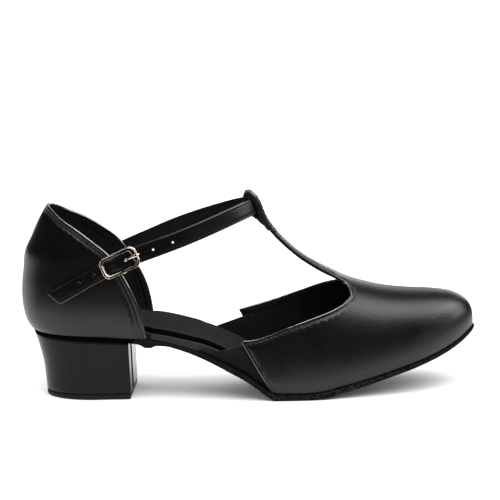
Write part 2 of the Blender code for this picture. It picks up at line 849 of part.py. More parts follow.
def buckle_rings(seat):
    """Sections round the buckle's rounded frame."""
    middle, along, width, out = seat
    long = (BUCKLE_LONG - FRAME_BAR) / 2 - BUCKLE_CORNER
    wide = (BUCKLE_WIDE - FRAME_BAR) / 2 - BUCKLE_CORNER
    section = strap_section(FRAME_BAR / 2, FRAME_THICK / 2, FRAME_CHAMFER)
    rings = []
    for start, a, w in ((0, 1, 1), (90, -1, 1), (180, -1, -1), (270, 1, -1)):
        for turn in CORNER_TURNS:
            away = along * cos(radians(start + turn)) + width * sin(radians(start + turn))
            spot = middle + along * a * long + width * w * wide + away * BUCKLE_CORNER
            spot += out * (FRAME_LIFT + FRAME_THICK / 2)
            rings.append([spot + away * p + out * n for p, n in section])
    return rings


def cross_outline():
    """Section of the bar under the strap, its two risers and the end that shows below the frame."""
    bar = CROSS_UNDER + CROSS_WIDE
    low_end = -CROSS_REACH - CROSS_END
    return [
        (low_end, CROSS_UNDER),
        (CROSS_REACH, CROSS_UNDER),
        (CROSS_REACH, CROSS_RISE),
        (CROSS_CLEAR, CROSS_RISE),
        (CROSS_CLEAR, bar),
        (-CROSS_CLEAR, bar),
        (-CROSS_CLEAR, CROSS_RISE),
        (-CROSS_REACH, CROSS_RISE),
        (-CROSS_REACH, bar),
        (low_end, bar),
    ]


def join_on(part, helper, name):
    """Joins a helper shape to a part and hides the helper."""
    helper.hide_render = True
    helper.display_type = "WIRE"
    union = part.modifiers.new(name, "BOOLEAN")
    union.operation = "UNION"
    union.solver = "EXACT"
    union.object = helper


for item in list(bpy.data.objects):
    bpy.data.objects.remove(item)

# Bottom: outsole, board and sock
slab(
    "outsole", HEEL_BACK, TOE_TIP, lambda x: 0.0, sole_bottom, sole_top,
    (SOLE_EDGE, ARRIS), 0.0, paint("suede_sole", SUEDE),
)
slab(
    "insole", HEEL_BACK + board_inset(HEEL_BACK), TOE_TIP - board_inset(TOE_TIP), board_inset,
    board_low, board_high, (ARRIS, BOARD_ROUND), 0.0, paint("board_leather", EDGE_LEATHER),
)
slab(
    "sock", HEEL_BACK + sock_inset(HEEL_BACK), TOE_TIP - sock_inset(TOE_TIP), sock_inset,
    sock_low, sock_high, (ARRIS, SOCK_ROUND), SOCK_DISH, paint("sock_suede", SUEDE),
)

# Heel: covered block and its top piece
block = []
for share in HEEL_SHARES:
    ring = []
    for x, y in heel_outline(share):
        high, low = sole_bottom(x) - GAP, floor_line(x) + LIFT + GAP
        ring.append((x, y, high * (1 - share) + low * share))
    block.append(ring)
loft("heel_block", block, paint("heel_cover", HEEL_LEATHER))
foot = heel_outline(1.0)
loft(
    "heel_top_piece", [[(x, y, floor_line(x) + rise) for x, y in foot] for rise in (LIFT, 0.0)],
    paint("top_piece_rubber", HARD_RUBBER),
)

# Upper: counter, vamp with T-bar and its sewn fold, lining wings
panel(
    "counter", counter_outline(EDGE_STEP), COUNTER_FILL, on_counter, COUNTER_WALL,
    paint("counter_leather", SMOOTH_LEATHER),
)
vamp_leather = paint("vamp_leather", SMOOTH_LEATHER)
vamp = panel("vamp", vamp_outline(EDGE_STEP), VAMP_FILL, on_vamp, VAMP_WALL, vamp_leather, RIDGE[0])
fold = bmesh.new()
bmesh.ops.create_cube(fold, size=1.0)
tilt = Matrix.Rotation(radians(PITCH - FOLD_JOIN_TILT), 4, "Y")
size = Matrix.Diagonal([side * MM for side in FOLD_JOIN_SIZE]).to_4x4()
bmesh.ops.transform(fold, verts=fold.verts, matrix=Matrix.Translation(place(FOLD_JOIN)) @ tilt @ size)
join_on(vamp, finish("fold_join", fold, vamp_leather), "sewn_fold")
for side, name in ((OUTER, "wing_outer"), (INNER, "wing_inner")):
    panel(
        name, wing_outline(side, EDGE_STEP), WING_FILL, on_wing, WING_WALL,
        paint(name + "_lining", LINING),
    )

# Ankle strap and buckle
frames = strap_frames(STRAP_STEP)
section = strap_section(STRAP_WIDTH / 2, STRAP_THICK / 2, STRAP_CHAMFER)
rings = []
for middle, along, width, out in frames:
    slant = tan(radians(TAIL_SLANT)) if middle is frames[-1][0] else 0.0
    rings.append([middle + width * w + out * n + along * w * slant for w, n in section])
loft("ankle_strap", rings, paint("strap_leather", SMOOTH_LEATHER))
seat = buckle_seat()
middle, along, width, out = seat
metal = paint("buckle_metal", PLATED_METAL)
buckle = loft("buckle_frame", buckle_rings(seat), metal, closed=True)
sides = (-CROSS_WIDE / 2, CROSS_WIDE / 2)
on_strap = middle - width * BUCKLE_UP
under = [[on_strap + along * a + width * w + out * n for w, n in cross_outline()] for a in sides]
join_on(buckle, loft("cross_bar", under, metal), "cross_bar")
sides = (-PRONG_WIDE / 2, PRONG_WIDE / 2)
loft("buckle_prong", [[middle + along * a + width * w + out * n for a, n in PRONG] for w in sides], metal)
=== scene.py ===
from collections import namedtuple
from math import acos, asin, ceil, cos, degrees, radians, sin, sqrt, tan

import bmesh
import bpy
import numpy as np
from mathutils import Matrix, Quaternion, Vector
from mathutils.geometry import delaunay_2d_cdt
from mathutils.kdtree import KDTree


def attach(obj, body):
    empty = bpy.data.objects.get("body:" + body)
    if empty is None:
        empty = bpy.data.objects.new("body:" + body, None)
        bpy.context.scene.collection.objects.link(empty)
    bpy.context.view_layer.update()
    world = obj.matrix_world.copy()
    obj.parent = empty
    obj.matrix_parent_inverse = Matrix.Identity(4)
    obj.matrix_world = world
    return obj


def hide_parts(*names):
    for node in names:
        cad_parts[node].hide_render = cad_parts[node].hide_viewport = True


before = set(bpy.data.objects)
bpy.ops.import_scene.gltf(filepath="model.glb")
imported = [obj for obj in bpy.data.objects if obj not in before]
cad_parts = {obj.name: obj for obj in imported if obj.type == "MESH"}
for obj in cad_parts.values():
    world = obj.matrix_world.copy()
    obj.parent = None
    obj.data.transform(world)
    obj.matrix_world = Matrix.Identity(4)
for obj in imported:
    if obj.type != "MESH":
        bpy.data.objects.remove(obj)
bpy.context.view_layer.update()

# Outsole: one thin layer of split suede from the toe to the heel seat, cemented under the lasted
# upper. Its edge is cut raw and stays matt and slightly furry, with a small lip ahead of the heel.
MM = 0.001
FRAME_X = 124.7
FRAME_Y = 5.0
FLOOR_X = 150.0
FLOOR_Z = 0.95
PITCH = 1.4
HEEL_BACK = 5.4
HEEL_ROUND = 30.0
TOE_TIP = 248.4
TOE_ROUND = 34.0
END_TURN = 7.5
STATIONS = 144
ARC_TURNS = (0, 22.5, 45, 67.5, 90)
CAP_SHARES = (0.8, 0.6, 0.4, 0.2, 0.0, -0.2, -0.4, -0.6, -0.8)
SOLE_EDGE = 0.9
ARRIS = 0.2
SHADED_SEAT_END = 63.0
WAIST_END = 137.0
SUEDE_ROUGH = 0.95
NAP_STRENGTH = 0.9
SPECKLE = (0.38, 0.72)
Plan = namedtuple("Plan", "x centre half")
PLAN = (
    Plan(5, 0.0, 25.0), Plan(45, 0.0, 25.0), Plan(60, -0.3, 24.6), Plan(76, -1.8, 24.2),
    Plan(92, -3.2, 23.8), Plan(108, -3.5, 25.0), Plan(124, -1.4, 28.6), Plan(141, 1.6, 32.3),
    Plan(156, 4.6, 34.9), Plan(168, 6.4, 35.6), Plan(180, 7.8, 34.9), Plan(206, 9.9, 30.5),
    Plan(230, 11.6, 24.6), Plan(249, 12.6, 19.5),
)
Profile = namedtuple("Profile", "x bottom top")
PROFILE = (
    Profile(5, 33.3, 34.9), Profile(20, 32.6, 34.1), Profile(40, 31.7, 33.2), Profile(60, 30.7, 32.6),
    Profile(66, 29.8, 32.6), Profile(69.2, 28.3, 33.0), Profile(71.8, 28.3, 33.0), Profile(75, 29.6, 32.6),
    Profile(80, 29.5, 31.8), Profile(88, 27.6, 29.9), Profile(97, 24.5, 27.4), Profile(106, 20.6, 23.8),
    Profile(115, 16.1, 19.4), Profile(124, 11.4, 14.8), Profile(131, 6.8, 10.2), Profile(136.5, 2.7, 6.3),
    Profile(141, 0.4, 4.3), Profile(156, 0.8, 4.4), Profile(166, 2.0, 5.4), Profile(176, 4.5, 7.9),
    Profile(193, 9.5, 12.4), Profile(206, 13.6, 16.4), Profile(220, 18.4, 21.0), Profile(230, 22.4, 24.9),
    Profile(240, 27.6, 30.0), Profile(249, 34.4, 36.8),
)


def smooth(rows, column, x):
    """Monotone cubic through one column of a table, against the table's first column."""
    xs = [row[0] for row in rows]
    ys = [getattr(row, column) for row in rows]
    if x <= xs[0]:
        return ys[0]
    if x >= xs[-1]:
        return ys[-1]
    i = max(k for k in range(len(xs) - 1) if xs[k] <= x)

    def secant(k):
        return (ys[k + 1] - ys[k]) / (xs[k + 1] - xs[k])

    def slope(k):
        if k == 0:
            return secant(0)
        if k == len(xs) - 1:
            return secant(k - 1)
        before, after = secant(k - 1), secant(k)
        return 0.0 if before * after <= 0 else 2 * before * after / (before + after)

    span = xs[i + 1] - xs[i]
    t = (x - xs[i]) / span
    rise = slope(i) * span * t * (1 - t) ** 2 - slope(i + 1) * span * t * t * (1 - t)
    return ys[i] * (1 + 2 * t) * (1 - t) ** 2 + ys[i + 1] * t * t * (3 - 2 * t) + rise


def end_round(distance, length):
    """Share of the full width left at this distance from a rounded end."""
    if distance <= 0:
        return 0.0
    return 1.0 if distance >= length else sqrt(1 - (1 - distance / length) ** 2)


def centre(x):
    return smooth(PLAN, "centre", x)


def plan_half(x, inset):
    """Half width of the sole's outline, drawn in by inset all round."""
    heel = end_round(x - HEEL_BACK - inset, HEEL_ROUND - inset)
    toe = end_round(TOE_TIP - inset - x, TOE_ROUND - inset)
    return (smooth(PLAN, "half", x) - inset) * heel * toe


def floor_line(x):
    """The floor under heel and ball, which slopes in the last's own frame."""
    return FLOOR_Z + (x - FLOOR_X) * tan(radians(PITCH))


def sole_bottom(x):
    """Underside of the outsole, flat where it stands on the floor."""
    return max(smooth(PROFILE, "bottom", x), floor_line(x))


def sole_top(x):
    return smooth(PROFILE, "top", x)


def place(point):
    """Turns a point of the last's frame about the ball of the foot on to the level floor, in metres."""
    lean = radians(PITCH)
    run, rise = point[0] - FLOOR_X, point[2] - FLOOR_Z
    x = FLOOR_X + run * cos(lean) + rise * sin(lean)
    return Vector((x - FRAME_X, point[1] - FRAME_Y, rise * cos(lean) - run * sin(lean))) * MM


def finish(name, mesh, materials):
    """Turns a bmesh in metres into a smooth-shaded piece that rides on the shoe."""
    data = bpy.data.meshes.new(name)
    mesh.to_mesh(data)
    mesh.free()
    data.polygons.foreach_set("use_smooth", [True] * len(data.polygons))
    for material in materials:
        data.materials.append(material)
    part = bpy.data.objects.new(name, data)
    bpy.context.scene.collection.objects.link(part)
    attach(part, "root")
    return part


def stations(first, last):
    """Stations from heel tip to toe tip, close together where the ends are round."""
    turns = [radians(END_TURN * k) for k in range(int(90 / END_TURN))]
    heel = [first + HEEL_ROUND * (1 - cos(turn)) for turn in turns]
    toe = [last - TOE_ROUND * (1 - cos(turn)) for turn in reversed(turns)]
    between = [heel[-1] + (toe[0] - heel[-1]) * k / STATIONS for k in range(1, STATIONS)]
    return heel + between + toe


def bridge(mesh, loops):
    """Faces between each closed loop of points and the next."""
    for one, two in zip(loops, loops[1:]):
        for k in range(len(one)):
            n = (k + 1) % len(one)
            mesh.faces.new((one[k], one[n], two[n], two[k]))


def slab(name, inset, low, high, rounds, dish, materials):
    """A layer of the bottom: the sole's outline drawn in, between two heights, with rounded edges."""
    low_round, high_round = rounds
    arc = [(1 - cos(radians(turn)), 1 - sin(radians(turn))) for turn in ARC_TURNS]
    levels = [(low_round * draw, low, low_round * rise) for draw, rise in reversed(arc)]
    levels += [(high_round * draw, high, -high_round * rise) for draw, rise in arc]
    mesh = bmesh.new()
    loops = []
    for draw, height, rise in levels:
        xs = stations(HEEL_BACK + inset(HEEL_BACK) + draw, TOE_TIP - inset(TOE_TIP) - draw)
        spots = [(x, plan_half(x, inset(x) + draw), height(x) + rise) for x in xs]
        ring = [(x, centre(x) + half, z) for x, half, z in spots]
        ring += [(x, centre(x) - half, z) for x, half, z in spots[-2:0:-1]]
        loops.append([mesh.verts.new(place(point)) for point in ring])
    bridge(mesh, loops)
    for loop, sag in ((loops[0], 0.0), (loops[-1], dish)):
        last = len(loop) // 2
        rows = []
        for k in range(1, last):
            one, two = loop[k], loop[-k]
            across = []
            for share in CAP_SHARES:
                spot = one.co.lerp(two.co, (1 - share) / 2)
                spot.z -= sag * (1 - share * share) * MM
                across.append(mesh.verts.new(spot))
            rows.append([one] + across + [two])
        for one, two in zip(rows, rows[1:]):
            for k in range(len(one) - 1):
                mesh.faces.new((one[k], one[k + 1], two[k + 1], two[k]))
        for tip, row in ((loop[0], rows[0]), (loop[last], rows[-1])):
            for k in range(len(row) - 1):
                mesh.faces.new((tip, row[k], row[k + 1]))
    bmesh.ops.recalc_face_normals(mesh, faces=mesh.faces)
    return finish(name, mesh, materials)


def surface(name, values):
    """A material whose shader has its plain values set straight on the sockets."""
    material = bpy.data.materials.new(name)
    material.use_nodes = True
    shader = material.node_tree.nodes["Principled BSDF"]
    for label, value in values.items():
        shader.inputs[label].default_value = value
    return material


def node(tree, kind, **values):
    """A new shader node with its input values set; names are the labels with _ for spaces."""
    made = tree.nodes.new(kind)
    for label, value in values.items():
        made.inputs[label.replace("_", " ")].default_value = value
    return made


def effect(name, inputs, outputs):
    """An empty node group with named inputs and outputs."""
    group = bpy.data.node_groups.new(name, "ShaderNodeTree")
    for label, value in inputs.items():
        socket = group.interface.new_socket(label, in_out="INPUT", socket_type="NodeSocketFloat")
        socket.default_value = value
    for label in outputs:
        group.interface.new_socket(label, in_out="OUTPUT", socket_type="NodeSocketFloat")
    return group, group.nodes.new("NodeGroupInput"), group.nodes.new("NodeGroupOutput")


def scale_textures(group, start, pairs):
    """Lays textures on the piece's own coordinates, each with the scale that a named input gives."""
    spot = group.nodes.new("ShaderNodeTexCoord")
    for made, scale in pairs:
        group.links.new(spot.outputs["Object"], made.inputs["Vector"])
        group.links.new(start.outputs[scale], made.inputs["Scale"])


def apply_effect(material, group, values):
    """Places an effect in a material with its own values."""
    made = material.node_tree.nodes.new("ShaderNodeGroup")
    made.node_tree = group
    for label, value in values.items():
        made.inputs[label].default_value = value
    return made


def tones(material, mask, dark, light, ends=(0.0, 1.0)):
    """Base colour between two tones by a mask, from one end of its range to the other."""
    ramp = material.node_tree.nodes.new("ShaderNodeValToRGB")
    for element, tone, end in zip(ramp.color_ramp.elements, (dark, light), ends):
        element.color = (*tone, 1.0)
        element.position = end
    shader = material.node_tree.nodes["Principled BSDF"]
    material.node_tree.links.new(mask, ramp.inputs["Fac"])
    material.node_tree.links.new(ramp.outputs["Color"], shader.inputs["Base Color"])


def gloss_range(material, mask, low, high):
    """Roughness between two values by a mask."""
    spread = node(material.node_tree, "ShaderNodeMapRange", To_Min=low, To_Max=high)
    shader = material.node_tree.nodes["Principled BSDF"]
    material.node_tree.links.new(mask, spread.inputs["Value"])
    material.node_tree.links.new(spread.outputs["Result"], shader.inputs["Roughness"])


def bump(material, height, depth, strength):
    """Fine relief of the surface, depth in millimetres."""
    made = node(material.node_tree, "ShaderNodeBump", Strength=strength, Distance=depth * MM)
    shader = material.node_tree.nodes["Principled BSDF"]
    material.node_tree.links.new(height, made.inputs["Height"])
    material.node_tree.links.new(made.outputs["Normal"], shader.inputs["Normal"])


def finished(name, values, effect_values, dark, light, relief, rough=None, ends=(0.0, 1.0)):
    """A material from plain values and one effect, which gives its tones, gloss and fine relief."""
    material = surface(name, values)
    made = apply_effect(material, *effect_values)
    tones(material, made.outputs["Tone"], dark, light, ends)
    if rough:
        gloss_range(material, made.outputs["Tone"], *rough)
    bump(material, made.outputs["Height"], *relief)
    return material


def suede_nap():
    """Nap of suede: short fibres as Height, brushed patches as Tone."""
    group, start, end = effect("suede_nap", {"Fibres": 2200.0, "Patches": 140.0}, ("Height", "Tone"))
    fibres = node(group, "ShaderNodeTexNoise", Detail=4.0, Roughness=0.75)
    patches = node(group, "ShaderNodeTexNoise", Detail=5.0, Roughness=0.65)
    scale_textures(group, start, ((fibres, "Fibres"), (patches, "Patches")))
    group.links.new(fibres.outputs["Fac"], end.inputs["Height"])
    group.links.new(patches.outputs["Fac"], end.inputs["Tone"])
    return group


NAP = suede_nap()


def suede(name, dark, light, depth, scales=None, ends=(0.0, 1.0)):
    """Matt suede with a nap of this depth in millimetres."""
    matt = {"Roughness": SUEDE_ROUGH, "Specular IOR Level": 0.0}
    return finished(name, matt, (NAP, scales or {}), dark, light, (depth, NAP_STRENGTH), ends=ends)


sole_suedes = [
    suede(
        "sole_suede", dark=(0.0, 0.0, 0.0), light=(0.026, 0.0255, 0.025), depth=0.5,
        scales={"Patches": 900.0}, ends=SPECKLE,
    ),
    # A darker copy of the suede for the edge along the waist.
    suede("waist_edge", dark=(0.002, 0.002, 0.002), light=(0.011, 0.011, 0.011), depth=0.2),
    # Painted shade: a near-black copy of the suede for the seat edge, which lies between the counter and the
    # heel.
    suede("shaded_seat_edge", dark=(0.0, 0.0, 0.0), light=(0.002, 0.002, 0.002), depth=0.2),
]
outsole = slab(
    "outsole_suede", inset=lambda x: 0.0, low=sole_bottom, high=sole_top, rounds=(SOLE_EDGE, ARRIS),
    dish=0.0, materials=sole_suedes,
)
# Faces from the waist's end towards the heel take the darker suede. Faces behind the heel seat take the
# near-black copy, which is painted shade where the edge lies between counter and heel.
for face in outsole.data.polygons:
    face.material_index = sum(face.center.x < place((end, 0.0, 0.0)).x for end in (WAIST_END, SHADED_SEAT_END))
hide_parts("outsole")

# Insole board: stiff fibre board under the foot, its edge wrapped in thin satin leather that shows
# as a band along the open waist. The upper is lasted round it.
GAP = 0.3
GRAIN_STRENGTH = 0.5
BOARD_ROUND = 0.6
Edge = namedtuple("Edge", "x inset")
BOARD_EDGE = (
    Edge(5, 2.7), Edge(70.2, 2.7), Edge(73, 0.6), Edge(95.5, 0.6), Edge(99, 2.5), Edge(121, 4.1),
    Edge(145, 4.1), Edge(150, 3.1), Edge(249, 3.1),
)
Bed = namedtuple("Bed", "x board sock")
BED = (
    Bed(5, 40.4, 43.4), Bed(20, 40.0, 43.0), Bed(45, 39.3, 42.2), Bed(60, 38.0, 41.3), Bed(70, 36.8, 40.4),
    Bed(79.3, 35.6, 39.4), Bed(93.4, 32.8, 36.5), Bed(104.4, 29.5, 33.2), Bed(110.5, 26.9, 30.5),
    Bed(117, 23.7, 27.2), Bed(124, 19.7, 23.0), Bed(131, 15.0, 18.2), Bed(136.5, 10.9, 14.2),
    Bed(141, 8.4, 11.7), Bed(156, 8.2, 11.6), Bed(166, 9.4, 12.8), Bed(176, 11.9, 15.3),
    Bed(193, 16.9, 20.4), Bed(206, 21.0, 24.5), Bed(220, 25.8, 29.3), Bed(230, 29.8, 33.3),
    Bed(240, 35.0, 38.5), Bed(249, 41.8, 45.3),
)


def board_inset(x):
    return smooth(BOARD_EDGE, "inset", x)


def board_low(x):
    return sole_top(x) + GAP


def board_high(x):
    return smooth(BED, "board", x)


def leather_grain():
    """Grain of smooth leather: pebbles and pores as Height, uneven finish as Tone."""
    group, start, end = effect("leather_grain", {"Pebbles": 850.0, "Finish": 60.0}, ("Height", "Tone"))
    pebbles = group.nodes.new("ShaderNodeTexVoronoi")
    pebbles.feature = "DISTANCE_TO_EDGE"
    rough = node(group, "ShaderNodeTexNoise", Detail=3.0, Roughness=0.6)
    patches = node(group, "ShaderNodeTexNoise", Detail=3.0, Roughness=0.55)
    scale_textures(group, start, ((pebbles, "Pebbles"), (rough, "Pebbles"), (patches, "Finish")))
    both = group.nodes.new("ShaderNodeMath")
    group.links.new(pebbles.outputs["Distance"], both.inputs[0])
    group.links.new(rough.outputs["Fac"], both.inputs[1])
    group.links.new(both.outputs["Value"], end.inputs["Height"])
    group.links.new(patches.outputs["Fac"], end.inputs["Tone"])
    return group


GRAIN = leather_grain()


def leather(name, dark, light, rough, depth, ior):
    """Smooth leather with a range of gloss and a grain of this depth in millimetres."""
    return finished(name, {"IOR": ior}, (GRAIN, {}), dark, light, (depth, GRAIN_STRENGTH), rough)


board_leather = leather(
    "board_leather", dark=(0.011, 0.011, 0.0115), light=(0.016, 0.016, 0.0165), rough=(0.55, 0.65),
    depth=0.05, ior=1.33,
)
insole = slab(
    "insole_edge_leather", inset=board_inset, low=board_low, high=board_high,
    rounds=(ARRIS, BOARD_ROUND), dish=0.0, materials=[board_leather],
)
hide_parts("insole")

# Sock: thin foam pad covered with dark brown-black suede cloth, glued on the board from heel to toe,
# its edge turned down so that it is round. Its steep sides are painted near black as shade, a dark line
# above the board.
SOCK_INSET = 1.3
SOCK_ROUND = 1.2
SOCK_DISH = 0.7
SOCK_SHADE_NORMAL_Z = 0.36

sock_suedes = [
    suede("sock_suede", dark=(0.0125, 0.0119, 0.0111), light=(0.025, 0.0238, 0.0222), depth=0.14),
    # Painted shade: a near-black copy of the sock's suede for its steep sides.
    suede("sock_side_painted_shade", dark=(0.0005, 0.0005, 0.0005), light=(0.0025, 0.0024, 0.0023), depth=0.14),
]
sock = slab(
    "sock_pad", inset=lambda x: board_inset(x) + SOCK_INSET, low=lambda x: board_high(x) + GAP,
    high=lambda x: smooth(BED, "sock", x), rounds=(ARRIS, SOCK_ROUND), dish=SOCK_DISH,
    materials=sock_suedes,
)
# Painted shade: faces whose normal points less upward than the limit take the near-black side suede.
for face in sock.data.polygons:
    face.material_index = int(face.normal.z < SOCK_SHADE_NORMAL_Z)
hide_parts("sock")

# Heel block: moulded core with smooth leather stretched round it and glued. The cover is turned round
# the front corners on to the breast, where its two edges leave a shallow channel between them.
LIFT = 3.2
HEEL_CURVE = 28.0
HEEL_TURNS = 64
HEEL_LEVELS = 22
HEEL_SHOULDER = 12.0
SHOULDER_SHARES = (0.75, 0.5, 0.25, 0.0)
BREAST_CORNER = 1.0
CHANNEL = (-11.5, -3.0)
CHANNEL_DEEP = 1.2
CHANNEL_ROUND = 0.25
CHANNEL_FLAT = 4
HeelRow = namedtuple("HeelRow", "share back half breast breast_half")
HEEL = (
    HeelRow(0.0, 6.0, 24.6, 59.6, 23.9), HeelRow(0.25, 8.5, 24.0, 59.9, 23.2),
    HeelRow(0.55, 10.9, 23.3, 60.3, 22.4), HeelRow(1.0, 12.7, 22.6, 60.9, 21.6),
)


def heel_outline(share, deep):
    """Plan of the covered heel: inner corner and side, round back, outer side and corner, channel."""
    back = smooth(HEEL, "back", share)
    half = smooth(HEEL, "half", share)
    breast = smooth(HEEL, "breast", share)
    front = smooth(HEEL, "breast_half", share)
    shoulder = (half + front) / 2
    side = []
    for turn in reversed(ARC_TURNS):
        a = radians(turn)
        side.append((breast - BREAST_CORNER * (1 - sin(a)), front - BREAST_CORNER * (1 - cos(a))))
    for t in SHOULDER_SHARES:
        run = HEEL_SHOULDER - (HEEL_SHOULDER - BREAST_CORNER) * t
        side.append((breast - run, shoulder + (front - shoulder) * t))
    outline = list(side)
    for k in range(HEEL_TURNS + 1):
        turn = radians(90 - 180 * k / HEEL_TURNS)
        outline.append((back + HEEL_CURVE * (1 - cos(turn)), half * sin(turn)))
    outline += [(x, -y) for x, y in reversed(side)]
    near, far = CHANNEL
    for y, way in ((near, 1), (far, -1)):
        sides = [(0.0, -CHANNEL_FLAT * way), (0.0, -way), (CHANNEL_ROUND, 0), (deep, way)][::way]
        outline += [(breast - inward, y + CHANNEL_ROUND * across) for inward, across in sides]
    return outline


def loft(name, rings, materials, closed=False):
    """A solid through rings of equal point count, capped at both ends unless it closes on itself."""
    mesh = bmesh.new()
    loops = [[mesh.verts.new(place(point)) for point in ring] for ring in rings]
    bridge(mesh, loops + loops[:1] if closed else loops)
    if not closed:
        mesh.faces.new(loops[0])
        mesh.faces.new(loops[-1])
    bmesh.ops.recalc_face_normals(mesh, faces=mesh.faces)
    return finish(name, mesh, materials)


block = []
for k in range(HEEL_LEVELS + 1):
    share = k / HEEL_LEVELS
    ring = []
    for x, y in heel_outline(share, CHANNEL_DEEP):
        high, low = sole_bottom(x) - GAP, floor_line(x) + LIFT + GAP
        ring.append((x, y, high * (1 - share) + low * share))
    block.append(ring)
heel_leather = leather(
    "heel_leather", dark=(0.003, 0.003, 0.0033), light=(0.006, 0.006, 0.0064), rough=(0.16, 0.24),
    depth=0.03, ior=1.22,
)
heel = loft("heel_cover", block, [heel_leather])
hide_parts("heel_block")

# Top piece: hard black rubber wearing plate, nailed under the heel and ground nearly flush with its
# cover. The lower edge is rounded off where it meets the floor.
TOP_PIECE_ROUND = 0.35
TOP_PIECE_IN = 0.12
FOOT_ROUND = 1.1
FOOT_TURNS = (90, 60, 30, 0)
RUBBER_RELIEF = (0.05, 0.6)

foot = heel_outline(1.0, 0.0)
middle_x = sum(x for x, y in foot) / len(foot)


def shrunk(draw, rise):
    """The heel's foot outline drawn in by about draw, at one height above the floor."""
    ring = []
    for x, y in foot:
        away = Vector((x - middle_x, y))
        away *= 1 - draw / away.length
        ring.append((middle_x + away.x, away.y, floor_line(middle_x + away.x) + rise))
    return ring


rubber = finished(
    "top_piece_rubber", {"IOR": 1.3}, (NAP, {"Fibres": 1800.0, "Patches": 260.0}),
    dark=(0.003, 0.003, 0.003), light=(0.007, 0.007, 0.007), relief=RUBBER_RELIEF, rough=(0.5, 0.7),
)
plate = [shrunk(TOP_PIECE_IN + TOP_PIECE_ROUND, LIFT), shrunk(TOP_PIECE_IN, LIFT - TOP_PIECE_ROUND)]
for turn in FOOT_TURNS:
    a = radians(turn)
    plate.append(shrunk(TOP_PIECE_IN + FOOT_ROUND * (1 - sin(a)), FOOT_ROUND * (1 - cos(a))))
top_piece = loft("heel_top_piece_rubber", plate, [rubber])
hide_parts("heel_top_piece")

# Counter: back half of the upper, smooth black leather over a stiffener with a dark cloth lining,
# lasted round the heel seat. Its collar is rolled over and sewn with two rows that run to the sole.
OUTER = -1
INNER = 1
COUNTER_WALL = 1.8
COUNTER_PATTERN = 0.55
SIDE_RUN = 0.55
FINE_EDGE = 1.1
DRAW_STEP = 0.15
FINE_FILL = 1.7
FILL_MARGIN = 0.45
MARK_MARGIN = 0.2
MARK_CLEAR = 0.5
HOLE_CLEAR = 0.9
FILL_WELD = 1e-4
PANEL_WELD = 0.12
ROLL_STEPS = 6
ROLL_OUT = 0.75
PROBE = 0.2
LEAST_STRETCH = 0.2
LEAST_SIDE = 1e-9
SEAM_CLEAR = 0.9
OUTSIDE, LINED, RIM, DULL_RIM = range(4)
FRONT_EDGE_TOP = 64.0
GROOVE_HALF = 0.38
WEAVE_STRENGTH = 0.7
COUNTER_CORE = (40.0, 0.0, 60.0)
Slice = namedtuple("Slice", "z back length half")
COUNTER = (
    Slice(32, 7.4, 28.5, 23.4), Slice(35, 4.6, 31.0, 24.9), Slice(39, 1.9, 34.0, 26.6),
    Slice(43, 0.5, 36.0, 27.8), Slice(49, -0.5, 37.5, 28.7), Slice(55, -0.8, 39.0, 29.1),
    Slice(61, -0.6, 40.5, 29.2), Slice(68, 0.1, 42.5, 29.0), Slice(76, 0.7, 44.5, 28.6),
    Slice(86, 4.7, 47.0, 27.8), Slice(96, 9.1, 50.0, 26.5), Slice(104, 13.6, 52.0, 25.0),
)
Collar = namedtuple("Collar", "x z inner_reach")
COLLAR = (
    Collar(13.4, 103.4, 0.0), Collar(17.0, 101.2, 0.0), Collar(22.0, 97.9, 0.0), Collar(31.5, 92.8, 0.0),
    Collar(40.3, 87.0, 0.0), Collar(49.0, 80.2, 0.3), Collar(56.8, 69.2, 0.8), Collar(64.6, 53.6, 1.1),
    Collar(69.6, 33.4, 0.8),
)
Seam = namedtuple("Seam", "share first second")
COUNTER_SEAMS = (Seam(0.0, 1.4, 2.8), Seam(0.5, 1.4, 2.8), Seam(0.75, 1.9, 4.0), Seam(1.0, 1.9, 4.0))
COUNTER_SEAM_DEPTH = 1.0
STITCH_PITCH = 2.9
STITCH_LONG = 2.0
STITCH_THICK = 0.22
STITCH_LIFT = -0.16
STITCH_SIDES = 6
Stitch = namedtuple("Stitch", "reach thick up")
STITCH = (Stitch(-0.5, 0.45, -0.1), Stitch(-0.3, 1.0, 0.0), Stitch(0.3, 1.0, 0.0), Stitch(0.5, 0.45, -0.1))


def spline(rows, step):
    """Points about step apart on a smooth curve through the rows."""
    knots = [Vector(row) for row in rows]
    knots = [2 * knots[0] - knots[1]] + knots + [2 * knots[-1] - knots[-2]]
    points = []
    for a, b, c, d in zip(knots, knots[1:], knots[2:], knots[3:]):
        tb = sqrt((b - a).length)
        tc = tb + sqrt((c - b).length)
        td = tc + sqrt((d - c).length)
        count = max(1, ceil((c - b).length / step))
        for k in range(count):
            t = tb + (tc - tb) * k / count
            ab = a.lerp(b, t / tb)
            bc = b.lerp(c, (t - tb) / (tc - tb))
            cd = c.lerp(d, (t - tc) / (td - tc))
            points.append(ab.lerp(bc, t / tc).lerp(bc.lerp(cd, (t - tb) / (td - tb)), (t - tb) / (tc - tb)))
    return points + [knots[-2]]


def counter_point(turn, z):
    """Outer face of the counter: turn is 0 at the back and 90 degrees where the sides run straight."""
    back, length, half = [smooth(COUNTER, column, z) for column in ("back", "length", "half")]
    side = INNER if turn >= 0 else OUTER
    bend = min(abs(turn), 90.0)
    x = back + length * (1 - cos(radians(bend))) + max(0.0, abs(turn) - 90.0) * SIDE_RUN
    return (x, centre(x) + side * half * sin(radians(bend)), z)


def counter_turn(x, z):
    """The turn at which the counter's face passes station x at this height."""
    back = smooth(COUNTER, "back", z)
    length = smooth(COUNTER, "length", z)
    share = (x - back) / length
    if share >= 1:
        return 90.0 + (x - back - length) / SIDE_RUN
    return degrees(acos(min(1.0, 1 - share)))


def on_counter(turn, z):
    return counter_point(turn / COUNTER_PATTERN, z)


def thinned(points, step):
    """Every point at least step from the last one kept, and the last."""
    kept = [points[0]]
    for point in points[1:-1]:
        if (point - kept[-1]).length >= step and (point - points[-1]).length >= step / 2:
            kept.append(point)
    return kept + [points[-1]]


